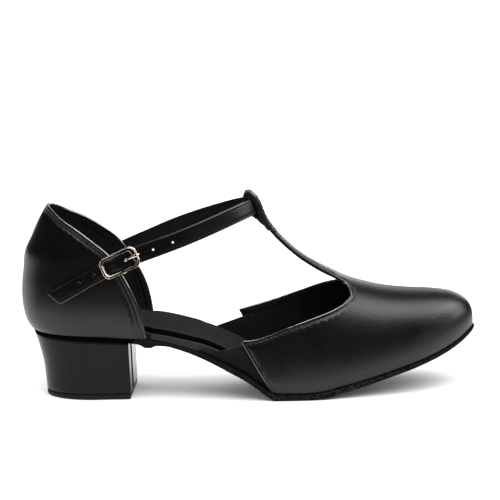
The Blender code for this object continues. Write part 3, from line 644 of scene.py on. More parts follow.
def counter_edge(side, step):
    """Collar and front edge of one side, in the counter's pattern, drawn smooth in side view."""
    rows = [(row.x + (row.inner_reach if side == INNER else 0.0), row.z) for row in COLLAR]
    line = spline(rows, DRAW_STEP)
    edge = [Vector((side * counter_turn(*spot) * COUNTER_PATTERN, spot.y)) for spot in line]
    edge[0].x = 0.0
    return thinned(edge, step)


def counter_outline(step):
    """Both edges of the counter and the feather line round the heel between them."""
    inner = counter_edge(INNER, step)
    outer = counter_edge(OUTER, step)
    count = ceil((inner[-1].x - outer[-1].x) / step)
    feather = []
    for k in range(1, count):
        turn = inner[-1].x + (outer[-1].x - inner[-1].x) * k / count
        feather.append(Vector((turn, sole_top(on_counter(turn, COLLAR[-1].z)[0]) + GAP)))
    return inner + feather + outer[:0:-1]


def within(point, heads, tails, margin):
    """Whether a pattern point lies inside the outline and at least margin from it."""
    sides = tails - heads
    share = np.clip(((point - heads) * sides).sum(1) / np.maximum((sides * sides).sum(1), LEAST_SIDE), 0, 1)
    if np.hypot(*(heads + sides * share[:, None] - point).T).min() < margin:
        return False
    crossing = (heads[:, 1] > point[1]) != (tails[:, 1] > point[1])
    at = heads[:, 0] + (point[1] - heads[:, 1]) / np.where(crossing, sides[:, 1], 1.0) * sides[:, 0]
    return int((crossing & (point[0] < at)).sum()) % 2 == 1


def seam_row(edge, side, face, reach):
    """Pattern points of a seam that follows an edge, reach(share of the edge) millimetres inside it."""
    row = []
    for k, point in enumerate(edge):
        ahead = edge[min(k + 1, len(edge) - 1)] - edge[max(k - 1, 0)]
        inward = Vector((ahead.y, -ahead.x)).normalized() * side
        metric = (Vector(face(*(point + inward * PROBE))) - Vector(face(*point))).length / PROBE
        offset = reach(k / (len(edge) - 1)) / max(metric, LEAST_STRETCH)
        spot = point + inward * offset
        if min((spot - other).length for other in edge) > SEAM_CLEAR * offset:
            row.append(spot)
    return row


def groove_rows(edge, side, face, reach, depth):
    """A sewn line pressed into the leather: its middle row sinks by depth between two level rows."""
    rows = []
    for shift, sink in ((-GROOVE_HALF, 0.0), (0.0, depth), (GROOVE_HALF, 0.0)):
        rows.append((seam_row(edge, side, face, lambda share: reach(share) + shift), sink))
    return rows


def give_wall(mesh, wall):
    """Gives an open skin its inner face, as second material, and a rolled edge, as third."""
    mesh.normal_update()
    thick = {vert: wall(vert) * MM for vert in mesh.verts}
    base = min(thick.values())
    faces = list(mesh.faces)
    rim = [edge for edge in mesh.edges if edge.is_boundary]
    out = {}
    for edge in rim:
        loop = edge.link_loops[0]
        along = loop.link_loop_next.vert.co - loop.vert.co
        for vert in edge.verts:
            out[vert] = out.get(vert, Vector()) + along.cross(edge.link_faces[0].normal).normalized()
    below = {vert: mesh.verts.new(vert.co - vert.normal * thick[vert]) for vert in list(mesh.verts)}
    for face in faces:
        mesh.faces.new([below[vert] for vert in reversed(face.verts)]).material_index = LINED
    rolls = {}
    for vert, away in out.items():
        away = (away - vert.normal * away.dot(vert.normal)).normalized()
        middle = vert.co - vert.normal * thick[vert] / 2
        rolls[vert] = [vert]
        for k in range(1, ROLL_STEPS):
            a = radians(180 * k / ROLL_STEPS)
            spot = middle + vert.normal * cos(a) * thick[vert] / 2 + away * sin(a) * ROLL_OUT * base / 2
            rolls[vert].append(mesh.verts.new(spot))
        rolls[vert].append(below[vert])
    for edge in rim:
        loop = edge.link_loops[0]
        one, two = rolls[loop.link_loop_next.vert], rolls[loop.vert]
        for k in range(ROLL_STEPS):
            mesh.faces.new((one[k], two[k], two[k + 1], one[k + 1])).material_index = RIM


def seam_marks(rows, heads, tails, fill):
    """Points of the seam rows that lie clear inside the outline, and how far each one sinks."""
    marks, sinks = [], []
    for row, sink in rows:
        for point in row:
            if within(np.array(tuple(point)), heads, tails, MARK_MARGIN * fill):
                marks.append(point)
                sinks.append(sink)
    return marks, sinks


def fill_grid(marks, heads, tails, fill):
    """An even grid of points inside the outline, left out near the marks."""
    tree = KDTree(len(marks))
    for k, mark in enumerate(marks):
        tree.insert((mark.x, mark.y, 0.0), k)
    tree.balance()
    low, high = heads.min(axis=0), heads.max(axis=0)
    grid = []
    for u in np.arange(low[0] + fill / 2, high[0], fill):
        for v in np.arange(low[1] + fill / 2, high[1], fill):
            near = tree.find((u, v, 0.0))[2] if marks else fill
            if near > MARK_CLEAR * fill and within(np.array((u, v)), heads, tails, FILL_MARGIN * fill):
                grid.append(Vector((u, v)))
    return grid


def leather_panel(name, outline, fill, core, face, wall, rows, materials, tip=None, holes=()):
    """Leather cut to a flat outline, laid on the last by face, with sewn grooves, holes and its wall."""
    heads = np.array([tuple(point) for point in outline])
    tails = np.roll(heads, -1, axis=0)
    marks, sinks = seam_marks(rows, heads, tails, fill)
    openings = []
    for hole in holes:
        marks += hole
        middle = sum(hole, Vector((0.0, 0.0))) / len(hole)
        openings.append((middle, HOLE_CLEAR * (hole[0] - middle).length))
    points = outline + marks + fill_grid(marks, heads, tails, fill)
    border = list(range(len(outline)))
    flat, _, triangles, origins, _, _ = delaunay_2d_cdt(points, [], [border], 1, FILL_WELD)
    depth = {len(outline) + k: sink for k, sink in enumerate(sinks)}
    mesh = bmesh.new()
    corners = [mesh.verts.new(place(face(*point))) for point in flat]
    for triangle in triangles:
        spot = sum((flat[k] for k in triangle), Vector((0.0, 0.0))) / 3
        if all((spot - middle).length > radius for middle, radius in openings):
            mesh.faces.new([corners[k] for k in triangle])
    if tip:
        first = min(point.x for point in flat)
        rim = sorted((point.y, k) for k, point in enumerate(flat) if point.x < first + GAP)
        end = mesh.verts.new(place(tip))
        for (_, one), (_, two) in zip(rim, rim[1:]):
            mesh.faces.new((corners[one], corners[two], end))
    bmesh.ops.delete(mesh, geom=[vert for vert in mesh.verts if not vert.link_faces], context="VERTS")
    mesh.normal_update()
    middle = place(core)
    away = sum(f.normal.dot(f.calc_center_median() - middle) * f.calc_area() for f in mesh.faces)
    if away < 0:
        bmesh.ops.reverse_faces(mesh, faces=mesh.faces)
        mesh.normal_update()
    shifts = []
    for k, vert in enumerate(corners):
        if vert.is_valid:
            sink = max([depth.get(source, 0.0) for source in origins[k]] or [0.0])
            shifts.append((vert, vert.normal * -sink * MM))
    for vert, shift in shifts:
        vert.co += shift
    bmesh.ops.remove_doubles(mesh, verts=mesh.verts, dist=PANEL_WELD * MM)
    give_wall(mesh, wall)
    return finish(name, mesh, materials)


def run_along(points):
    """Run from a line's first point to each of its points."""
    return np.concatenate(([0.0], np.cumsum([(b - a).length for a, b in zip(points, points[1:])])))


def locate(runs, run):
    """The step of a line that holds this run, and the share of the step that is passed."""
    k = max(0, min(len(runs) - 2, int(np.searchsorted(runs, run, side="right")) - 1))
    return k, (run - runs[k]) / (runs[k + 1] - runs[k])


def stitches(name, rows, face, core, material):
    """Thread that shows between needle holes: short rounded dashes along the seam rows."""
    mesh = bmesh.new()
    core = Vector(core)
    for seam in rows:
        spots, outs = [], []
        for point in seam:
            spot = Vector(face(*point))
            one = Vector(face(*(point + Vector((PROBE, 0.0))))) - spot
            two = Vector(face(*(point + Vector((0.0, PROBE))))) - spot
            out = one.cross(two).normalized()
            spots.append(spot)
            outs.append(out if out.dot(spot - core) > 0 else -out)
        run = run_along(spots)
        for at in np.arange(STITCH_PITCH, run[-1] - STITCH_PITCH, STITCH_PITCH):
            k, share = locate(run, at)
            out = outs[k].lerp(outs[k + 1], share).normalized()
            along = (spots[k + 1] - spots[k]).normalized()
            across = out.cross(along).normalized()
            spot = spots[k].lerp(spots[k + 1], share) + out * STITCH_LIFT
            loops = []
            for row in STITCH:
                middle = spot + along * row.reach * STITCH_LONG + out * row.up
                ring = []
                for n in range(STITCH_SIDES):
                    a = radians(360 * n / STITCH_SIDES)
                    ring.append(middle + (across * cos(a) + out * sin(a)) * row.thick * STITCH_THICK)
                loops.append([mesh.verts.new(place(point)) for point in ring])
            bridge(mesh, loops)
            mesh.faces.new(loops[0][::-1])
            mesh.faces.new(loops[-1])
    bmesh.ops.recalc_face_normals(mesh, faces=mesh.faces)
    return finish(name, mesh, [material])


def cloth_weave():
    """Plain weave of lining cloth and thread twist: crossing threads as Height, fading as Tone."""
    group, start, end = effect("cloth_weave", {"Threads": 900.0, "Patches": 120.0}, ("Height", "Tone"))
    threads = node(group, "ShaderNodeTexVoronoi", Randomness=0.35)
    patches = node(group, "ShaderNodeTexNoise", Detail=4.0)
    scale_textures(group, start, ((threads, "Threads"), (patches, "Patches")))
    group.links.new(threads.outputs["Distance"], end.inputs["Height"])
    group.links.new(patches.outputs["Fac"], end.inputs["Tone"])
    return group


WEAVE = cloth_weave()


def cloth(name, dark, light, rough, shine, depth):
    """Woven cloth or thread with a weave of this depth in millimetres."""
    values = {"Roughness": rough, "Specular IOR Level": shine}
    return finished(name, values, (WEAVE, {}), dark, light, (depth, WEAVE_STRENGTH))


BLACKS = ((0.0012, 0.0012, 0.0014), (0.0025, 0.0025, 0.0028))
SATIN = (0.28, 0.37)
UPPER = leather("upper_leather", *BLACKS, SATIN, depth=0.15, ior=1.44)
EDGE = leather(
    "turned_edge", dark=(0.004, 0.004, 0.0044), light=(0.008, 0.008, 0.0085), rough=(0.15, 0.22),
    depth=0.05, ior=2.8,
)
BAR_EDGE = leather(
    "strap_edge", dark=(0.002, 0.002, 0.0022), light=(0.004, 0.004, 0.0044), rough=(0.22, 0.3),
    depth=0.05, ior=1.6,
)
LINING = cloth(
    "lining_cloth", dark=(0.003, 0.003, 0.003), light=(0.0075, 0.0075, 0.0075), rough=0.9, shine=0.1,
    depth=0.08,
)
THREAD = cloth(
    "sewing_thread", dark=(0.012, 0.012, 0.012), light=(0.024, 0.024, 0.024), rough=0.35, shine=0.5,
    depth=0.03,
)

counter_rows, counter_lines = [], []
for side in (OUTER, INNER):
    edge = counter_edge(side, FINE_EDGE)
    for column in ("first", "second"):
        def reach(share, column=column):
            return smooth(COUNTER_SEAMS, column, share)
        counter_rows += groove_rows(edge, side, on_counter, reach, COUNTER_SEAM_DEPTH)
        seam = seam_row(edge, side, on_counter, reach)
        counter_lines.append([spot for spot in seam if spot.y > FRONT_EDGE_TOP])
counter = leather_panel(
    "counter_leather", counter_outline(FINE_EDGE), FINE_FILL, COUNTER_CORE, on_counter,
    lambda vert: COUNTER_WALL, counter_rows, [UPPER, LINING, EDGE, BAR_EDGE],
)
for face in counter.data.polygons:
    if face.material_index == RIM and face.center.z < FRONT_EDGE_TOP * MM:
        face.material_index = DULL_RIM
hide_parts("counter")
counter_thread = stitches("counter_stitches", counter_lines, on_counter, COUNTER_CORE, THREAD)

# Vamp: front half of the upper in one with the T-bar, smooth black leather on a cloth lining, lasted
# over the toe. One row of stitches follows its turned edge; the bar's end is folded into a loop.
VAMP_WALL = 1.3
PATTERN = 0.6
TIP_RUN = 0.6
FEATHER_INSET = 0.8
FEATHER_ANGLE = 120.0
BELLY_HEIGHT = 7.0
BELLY_SHARE = 0.3
SWELL = 2.2
SWELL_HEIGHT = 25.0
ROOT_X = 150.0
INSTEP_SLOPE = 0.84
BAR_LIMIT = 45.0
BAR_HALF = 4.4
CROWN_FADE = 25.0
RIDGE_STEP = 0.5
VAMP_CORE = (190.0, 8.0, 30.0)
VAMP_SEAM = 1.6
SEAM_DEPTH = 0.4
TOPLINE_STEP = 3.0
BACK_STEPS = 60
BAR_OUTSIDE = 4
BAR_FROM = 64.0
BAR_EDGE_FROM = 60.0
BAR_FRONT_NORMAL = 0.2
BACK_EDGE_NORMAL = -0.6
Ridge = namedtuple("Ridge", "x y z")
RIDGE = (
    Ridge(247.6, 12.5, 36.3), Ridge(247.5, 12.5, 40.4), Ridge(246.9, 12.5, 44.5), Ridge(244.9, 12.4, 48.6),
    Ridge(241.3, 12.2, 52.0), Ridge(235.2, 11.8, 54.7), Ridge(226.0, 11.2, 56.0), Ridge(212.0, 10.2, 56.6),
    Ridge(200.0, 9.4, 57.6), Ridge(189.0, 8.7, 59.8), Ridge(179.0, 8.0, 62.7), Ridge(170.0, 7.2, 66.7),
    Ridge(161.0, 6.4, 71.3), Ridge(152.0, 5.6, 77.0), Ridge(143.5, 4.9, 84.2), Ridge(138.5, 4.5, 89.4),
    Ridge(134.4, 4.2, 94.8), Ridge(132.2, 4.0, 99.5), Ridge(130.3, 4.0, 104.3), Ridge(127.6, 4.0, 108.6),
    Ridge(124.4, 4.0, 111.0), Ridge(121.8, 4.0, 110.3), Ridge(120.9, 4.0, 107.4), Ridge(121.8, 4.0, 103.3),
    Ridge(124.2, 4.0, 98.9), Ridge(128.6, 4.0, 95.9), Ridge(132.1, 4.0, 92.9), Ridge(134.6, 4.0, 89.7),
)
Padding = namedtuple("Padding", "z front back")
BAR_PADDING = (
    Padding(62.0, 0.0, 0.0), Padding(68.0, 0.6, 0.0), Padding(89.5, 0.6, 0.0), Padding(93.0, 1.4, 0.0),
    Padding(96.0, 2.8, 0.0), Padding(98.5, 1.7, 0.0), Padding(103.0, 1.5, 0.0), Padding(107.0, 1.3, 0.8),
    Padding(110.0, 1.4, 1.4), Padding(112.0, 1.4, 1.4),
)
Point = namedtuple("Point", "x z")
BACK_FOOT = {OUTER: 138.8, INNER: 134.0}
TOPLINE = {
    OUTER: (
        Point(122.2, 33.6), Point(127.0, 33.9), Point(132.0, 35.0), Point(139.0, 37.4), Point(148.0, 41.1),
        Point(162.0, 46.0), Point(172.0, 49.6), Point(178.4, 53.2), Point(181.0, 56.4),
    ),
    INNER: (
        Point(117.7, 39.8), Point(133.0, 43.6), Point(151.0, 49.6), Point(164.0, 54.9), Point(173.0, 57.7),
        Point(178.6, 58.8),
    ),
}
Flare = namedtuple("Flare", "x half")
FLARE = (Flare(178.6, 10.4), Flare(173.0, 8.0), Flare(165.0, 6.4), Flare(156.0, 5.2))

RIDGE_LINE = spline(RIDGE, RIDGE_STEP)
RIDGE_RUN = run_along(RIDGE_LINE)


def ridge_at(run):
    """Point of the ridge line at this run from the toe tip."""
    k, share = locate(RIDGE_RUN, run)
    return RIDGE_LINE[k].lerp(RIDGE_LINE[k + 1], share)


def run_of(x):
    """Run along the ridge at station x, or past the T-bar's root the run of the side walls."""
    if x < ROOT_X:
        return RUN_ROOT + ROOT_X - x
    k = next(k for k, point in enumerate(RIDGE_LINE) if point.x <= x)
    if k == 0:
        return 0.0
    before, after = RIDGE_LINE[k - 1], RIDGE_LINE[k]
    share = (before.x - x) / (before.x - after.x)
    return RIDGE_RUN[k - 1] + share * (RIDGE_RUN[k] - RIDGE_RUN[k - 1])


RUN_ROOT = run_of(ROOT_X)
ROOT = ridge_at(RUN_ROOT)


def instep(x):
    """Ridge of the last at a station: the ridge line, or past the T-bar's root a straight instep."""
    if x >= ROOT_X:
        return ridge_at(run_of(x))
    return Vector((x, ROOT.y, ROOT.z + INSTEP_SLOPE * (ROOT_X - x)))


Wall = namedtuple("Wall", "feather height belly swell half")


def wall_sizes(x, ridge_z, inset):
    """Feather height, wall height, height of the belly, swell and half width at a station."""
    feather = sole_top(x) + GAP
    height = ridge_z - inset - feather
    belly = min(BELLY_HEIGHT, BELLY_SHARE * height)
    swell = SWELL * min(1.0, height / SWELL_HEIGHT)
    return Wall(feather, height, belly, swell, plan_half(x, FEATHER_INSET + inset) + swell)


def wall_point(ridge, turn, inset):
    """Outer face of the forepart: turn is 0 on the ridge, 90 at the belly, FEATHER_ANGLE on the sole."""
    feather, height, belly, swell, half = wall_sizes(ridge.x, ridge.z, inset)
    side = INNER if turn >= 0 else OUTER
    middle = centre(ridge.x)
    if abs(turn) <= 90:
        lean = cos(radians(turn))
        across = half * sin(radians(turn)) + (ridge.y - middle) * lean
        return (ridge.x, middle + across, feather + belly + (height - belly) * lean)
    tuck = (abs(turn) - 90) / (FEATHER_ANGLE - 90)
    return (ridge.x, middle + side * (half - swell * tuck * tuck), feather + belly * (1 - tuck))


def vamp_point(run, turn, inset=0.0):
    """Outer face of the vamp, its side walls and its T-bar from the pattern's two directions."""
    if run <= RUN_ROOT:
        return wall_point(ridge_at(run), turn, inset)
    if abs(turn) > BAR_LIMIT:
        return wall_point(instep(ROOT_X - (run - RUN_ROOT)), turn, inset)
    root = wall_sizes(ROOT_X, ROOT.z, inset)
    ridge = ridge_at(run)
    crown = (root.height - root.belly) * max(0.0, 1 - (run - RUN_ROOT) / CROWN_FADE)
    return (ridge.x, ridge.y + root.half * sin(radians(turn)), ridge.z - crown * (1 - cos(radians(turn))))


def wall_turn(x, z):
    """The turn at which the forepart's wall passes this height."""
    wall = wall_sizes(x, instep(x).z, 0.0)
    rise = z - wall.feather
    if rise >= wall.belly:
        return degrees(acos(min(1.0, (rise - wall.belly) / (wall.height - wall.belly))))
    return 90 + (FEATHER_ANGLE - 90) * (1 - rise / wall.belly)


def pattern(run, turn):
    return Vector((run, turn * PATTERN))


def on_vamp(run, turn):
    return vamp_point(run, turn / PATTERN)


def vamp_edge(side, step):
    """The vamp's free edge on one side, in its pattern: up the back, along the topline, up the T-bar."""
    line = thinned(spline(TOPLINE[side], DRAW_STEP), TOPLINE_STEP)
    top = [pattern(run_of(p.x), side * wall_turn(*p)) for p in line]
    start = Vector((BACK_FOOT[side], sole_top(BACK_FOOT[side]) + GAP))
    rise = [start.lerp(Vector(TOPLINE[side][0]), k / BACK_STEPS) for k in range(BACK_STEPS)]
    edge = thinned([pattern(run_of(p.x), side * wall_turn(*p)) for p in rise], step)
    for row in FLARE:
        half = wall_sizes(row.x, instep(row.x).z, 0.0).half
        top.append(pattern(run_of(row.x), side * degrees(asin(row.half / half))))
    bar = side * degrees(asin(BAR_HALF / wall_sizes(ROOT_X, ROOT.z, 0.0).half))
    top.append(pattern(RUN_ROOT, bar))
    edge += spline(top, step)
    count = ceil((RIDGE_RUN[-1] - RUN_ROOT) / step)
    for k in range(1, count + 1):
        edge.append(pattern(RUN_ROOT + (RIDGE_RUN[-1] - RUN_ROOT) * k / count, bar))
    return edge


def feather_line(side, step):
    """The vamp's lower edge on one side, in its pattern, from the toe to the back corner."""
    last = run_of(BACK_FOOT[side])
    count = ceil((last - TIP_RUN) / step)
    return [pattern(TIP_RUN + (last - TIP_RUN) * k / count, side * FEATHER_ANGLE) for k in range(count)]


def vamp_outline(step):
    """The whole vamp in its pattern: both sides' lower and free edges, and the toe's end."""
    tip_count = ceil(FEATHER_ANGLE * PATTERN / step)
    tip = [pattern(TIP_RUN, FEATHER_ANGLE * (1 - 2 * k / tip_count)) for k in range(1, tip_count)]
    outer = feather_line(OUTER, step) + vamp_edge(OUTER, step)
    inner = feather_line(INNER, step) + vamp_edge(INNER, step)
    return outer + inner[::-1] + tip


def vamp_wall(vert):
    """Wall of the vamp: the T-bar's front layer is padded out inside the loop, round the strap."""
    column = "front" if vert.normal.x > BAR_FRONT_NORMAL else "back"
    return VAMP_WALL + smooth(BAR_PADDING, column, vert.co.z / MM)


BAR = leather("strap_leather", *BLACKS, SATIN, depth=0.15, ior=1.28)
vamp_rows, vamp_lines = [], []
for side in (OUTER, INNER):
    edge = vamp_edge(side, FINE_EDGE)
    vamp_rows += groove_rows(edge, side, on_vamp, lambda share: VAMP_SEAM, SEAM_DEPTH)
    vamp_lines.append(seam_row(edge, side, on_vamp, lambda share: VAMP_SEAM))
vamp = leather_panel(
    "vamp_leather", vamp_outline(FINE_EDGE), FINE_FILL, VAMP_CORE, on_vamp, vamp_wall,
    vamp_rows, [UPPER, LINING, EDGE, BAR_EDGE, BAR], tip=RIDGE[0],
)
for face in vamp.data.polygons:
    if face.material_index == OUTSIDE and face.center.z > BAR_FROM * MM:
        face.material_index = BAR_OUTSIDE
    elif face.material_index == RIM and face.center.z > BAR_EDGE_FROM * MM:
        face.material_index = LINED
    elif face.material_index == RIM and face.normal.x < BACK_EDGE_NORMAL:
        face.material_index = DULL_RIM
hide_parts("vamp")
vamp_thread = stitches("vamp_stitches", vamp_lines, on_vamp, VAMP_CORE, THREAD)

# Lining wings: low flaps of dark lining cloth behind the vamp's back edges, one on each side. They are
# glued to the board's edge and close the corner between the vamp and the sole.
WING_WALL = 1.0
WING_RIM_FROM = 111.0
WING_CORE = (120.0, 0.0, 30.0)
WING_FOOT = {OUTER: 144.0, INNER: 140.0}
WING_INSET = (Edge(96, 0.0), Edge(121, 1.8), Edge(146, 1.8))
WING = {
    OUTER: (
        Point(100.0, 27.4), Point(105.5, 26.4), Point(110.5, 27.7), Point(115.7, 29.2), Point(123.0, 31.4),
        Point(129.0, 33.3),
    ),
    INNER: (Point(103.0, 30.2), Point(108.5, 32.4), Point(119.0, 36.0), Point(125.0, 37.6)),
}


def on_wing(run, turn):
    x = ROOT_X - (run - RUN_ROOT)
    return vamp_point(run, turn / PATTERN, smooth(WING_INSET, "inset", x))


def wing_outline(side, step):
    """One wing in the vamp's pattern: its top edge, its front end under the vamp and its lower edge."""
    rows = WING[side]
    top = [pattern(run_of(p.x), side * wall_turn(*p)) for p in thinned(spline(rows, DRAW_STEP), step)]
    heel_end = pattern(run_of(rows[0].x), side * FEATHER_ANGLE)
    toe_end = pattern(run_of(WING_FOOT[side]), side * FEATHER_ANGLE)
    front = ceil((top[-1] - toe_end).length / step)
    under = ceil((heel_end - toe_end).length / step)
    outline = top + [top[-1].lerp(toe_end, k / front) for k in range(1, front)]
    return outline + [toe_end.lerp(heel_end, k / under) for k in range(under + 1)]


for side, name in ((OUTER, "wing_outer"), (INNER, "wing_inner")):
    wing = leather_panel(
        name + "_lining", wing_outline(side, FINE_EDGE), FINE_FILL, WING_CORE, on_wing,
        lambda vert: WING_WALL, [], [LINING, LINING, BAR_EDGE],
    )
    for face in wing.data.polygons:
        if side == INNER or face.center.x < place((WING_RIM_FROM, 0.0, 0.0)).x:
            face.material_index = OUTSIDE
    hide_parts(name)

# Ankle strap: two layers of smooth leather sewn along both edges, fixed on the inner side of the
# counter, led through the T-bar's loop and the buckle, its tail laid down on the outer side.
STRAP_WIDTH = 9.0
STRAP_THICK = 1.8
STRAP_GAP = 0.35
STRAP_STEP = 1.0
LAID_STEP = 6.0
NUDGE = 1.0
TAIL_SLANT = 24.0
STRAP_SEAM = 1.4
STRAP_FILL = 1.5
STRAP_CORE = (80.0, 0.0, 85.0)
BULGE = 1.7
BULGE_AT = 56.2
BULGE_HALF = 7.5
HOLE_RADIUS = 1.2
HOLE_SIDES = 14
HOLES_X = (84.3, 74.5, 64.4, 42.2, 34.1)
LAID_INNER = (Point(42.0, 67.4), Point(49.0, 71.0), Point(57.0, 75.0), Point(66.0, 79.2))
LAID_OUTER = (
    Point(65.5, 80.7), Point(55.3, 75.8), Point(45.0, 70.9), Point(34.0, 64.6), Point(20.2, 56.0),
)
Free = namedtuple("Free", "x y z lean")
FREE = (
    Free(80.6, 28.7, 85.9, 8.0), Free(94.2, 26.6, 91.4, 11.0), Free(107.8, 22.4, 96.5, 15.0),
    Free(119.4, 15.6, 100.8, 20.0), Free(126.2, 8.9, 102.9, 23.0), Free(126.9, 4.0, 103.2, 24.0),
    Free(126.2, -1.2, 103.0, 23.0), Free(120.2, -9.8, 101.2, 20.0), Free(109.5, -18.2, 97.3, 15.0),
    Free(98.0, -24.1, 92.9, 11.0), Free(88.0, -27.3, 89.1, 9.0), Free(76.0, -29.8, 84.8, 8.0),
)


def laid(point, side):
    """Middle of the strap where it lies on the counter, with the lean of the counter's face there."""
    turn = side * counter_turn(*point)
    here = Vector(counter_point(turn, point.y))
    round_heel = Vector(counter_point(turn + NUDGE, point.y)) - Vector(counter_point(turn - NUDGE, point.y))
    upwards = Vector(counter_point(turn, point.y + NUDGE)) - Vector(counter_point(turn, point.y - NUDGE))
    out = upwards.cross(round_heel).normalized()
    middle = here + out * (STRAP_GAP + STRAP_THICK / 2)
    return (*middle, degrees(asin(out.z)))


StrapSpot = namedtuple("StrapSpot", "middle along width out")


def strap_frames(step):
    """Middle, direction, width direction and outward direction along the strap."""
    inner = [laid(point, INNER) for point in spline(LAID_INNER, LAID_STEP)]
    outer = [laid(point, OUTER) for point in spline(LAID_OUTER, LAID_STEP)]
    line = spline(inner + list(FREE) + outer, step)
    frames = []
    for k, point in enumerate(line):
        ahead = line[min(k + 1, len(line) - 1)].xyz - line[max(k - 1, 0)].xyz
        along = ahead.normalized()
        level = Vector((-along.y, along.x, 0.0)).normalized()
        lean = radians(point.w)
        width = along.cross(level * cos(lean) + Vector((0, 0, sin(lean)))).normalized()
        frames.append(StrapSpot(point.xyz, along, width, width.cross(along)))
    return frames


STRAP = strap_frames(STRAP_STEP)
STRAP_RUN = run_along([spot.middle for spot in STRAP])


def on_strap(run, across):
    """Outer face of the strap at this run from its inner end and this far up its width."""
    k, share = locate(STRAP_RUN, run)
    middle, _, width, out = [one.lerp(two, share) for one, two in zip(STRAP[k], STRAP[k + 1])]
    bulge = 0.0
    if middle.y < 0 and abs(middle.x - BULGE_AT) < BULGE_HALF:
        bulge = BULGE * cos(radians(90 * (middle.x - BULGE_AT) / BULGE_HALF)) ** 2
    return middle + width * across + out * (STRAP_THICK / 2 + bulge)


def strap_end(across):
    return STRAP_RUN[-1] + across * tan(radians(TAIL_SLANT))


def strap_line(across, step, margin):
    """A line along the strap at one place of its width, margin short of both ends."""
    last = strap_end(across) - margin
    count = ceil((last - margin) / step)
    return [Vector((margin + (last - margin) * k / count, across)) for k in range(count + 1)]


half_width = STRAP_WIDTH / 2 - STRAP_THICK / 2 * ROLL_OUT
seam = STRAP_WIDTH / 2 - STRAP_SEAM
strap_outline = strap_line(-half_width, FINE_EDGE, 0.0)
for across in np.arange(-half_width + FINE_EDGE, half_width - FINE_EDGE / 2, FINE_EDGE):
    strap_outline.append(Vector((strap_end(across), across)))
strap_outline += strap_line(half_width, FINE_EDGE, 0.0)[::-1]
for across in np.arange(half_width - FINE_EDGE, -half_width + FINE_EDGE / 2, -FINE_EDGE):
    strap_outline.append(Vector((0.0, across)))
strap_rows, strap_lines = [], []
for side in (-1, 1):
    for shift, sink in ((-GROOVE_HALF, 0.0), (0.0, SEAM_DEPTH), (GROOVE_HALF, 0.0)):
        strap_rows.append((strap_line(side * (seam + shift), FINE_EDGE, STRAP_SEAM), sink))
    strap_lines.append(strap_line(side * seam, FINE_EDGE, STRAP_SEAM))
outer_side = [k for k, spot in enumerate(STRAP) if spot.middle.y < 0]
turns = [radians(360 * k / HOLE_SIDES) for k in range(HOLE_SIDES)]
strap_holes = []
for x in HOLES_X:
    at = STRAP_RUN[min(outer_side, key=lambda k: abs(STRAP[k].middle.x - x))]
    strap_holes.append([Vector((at + HOLE_RADIUS * cos(a), HOLE_RADIUS * sin(a))) for a in turns])
strap = leather_panel(
    "ankle_strap_leather", strap_outline, STRAP_FILL, STRAP_CORE, on_strap, lambda vert: STRAP_THICK,
    strap_rows, [BAR, LINING, BAR_EDGE], holes=strap_holes,
)
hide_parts("ankle_strap")
strap_thread = stitches("strap_stitches", strap_lines, on_strap, STRAP_CORE, LINING)

# Buckle frame: cast and plated metal frame with two ridges and a groove between them, over the strap,
# with a cross bar under it. The prong of the same metal is hooked round the front bar.
BUCKLE_AT = 56.3
BUCKLE_UP = 0.6
BUCKLE_LONG = 22.0
BUCKLE_WIDE = 12.0
BUCKLE_CORNER = 3.6
WINDOW_CORNER = 1.9
SEAT_STEP = 0.2
FRAME_LIFT = 1.35
CORNER_STEPS = 8
SIDE_STEPS = 6
Bars = namedtuple("Bars", "front back top bottom")
BARS = Bars(3.2, 2.2, 1.9, 1.8)
FrameRow = namedtuple("FrameRow", "share height")
FRAME_ROWS = (
    FrameRow(0.0, 0.0), FrameRow(0.0, 0.9), FrameRow(0.02, 1.25), FrameRow(0.07, 1.5), FrameRow(0.13, 1.58),
    FrameRow(0.19, 1.5), FrameRow(0.25, 1.2), FrameRow(0.28, 0.85), FrameRow(0.32, 0.7), FrameRow(0.5, 0.85),
    FrameRow(0.7, 1.05), FrameRow(0.85, 1.2), FrameRow(0.92, 1.2), FrameRow(0.97, 1.0), FrameRow(1.0, 0.6),
    FrameRow(1.0, 0.0),
)
CROSS_WIDE = 1.1
CROSS_REACH = 5.6
CROSS_CLEAR = 4.8
CROSS_UNDER = -2.4
CROSS_RISE = 2.2
CROSS_END = 0.5
PRONG_TURNS = 14
METAL_RELIEF = (0.001, 0.3)
ProngRow = namedtuple("ProngRow", "along out radius")
PRONG = (
    ProngRow(11.3, 1.7, 0.5), ProngRow(11.7, 2.6, 0.6), ProngRow(11.1, 3.4, 0.65), ProngRow(9.8, 3.6, 0.7),
    ProngRow(8.4, 3.3, 0.7), ProngRow(7.2, 2.6, 0.65), ProngRow(5.8, 2.3, 0.62), ProngRow(4.6, 2.2, 0.66),
    ProngRow(4.1, 2.2, 0.85), ProngRow(3.6, 2.2, 0.95), ProngRow(3.1, 2.2, 0.85), ProngRow(2.75, 2.2, 0.45),
)


def buckle_seat():
    """The buckle's middle on the strap, with the directions towards the toe, across the strap and out."""
    outer_side = [spot for spot in strap_frames(SEAT_STEP) if spot.middle.y < 0]
    spot = min(outer_side, key=lambda spot: abs(spot.middle.x - BUCKLE_AT))
    return spot.middle + spot.width * BUCKLE_UP, -spot.along, spot.width, spot.out


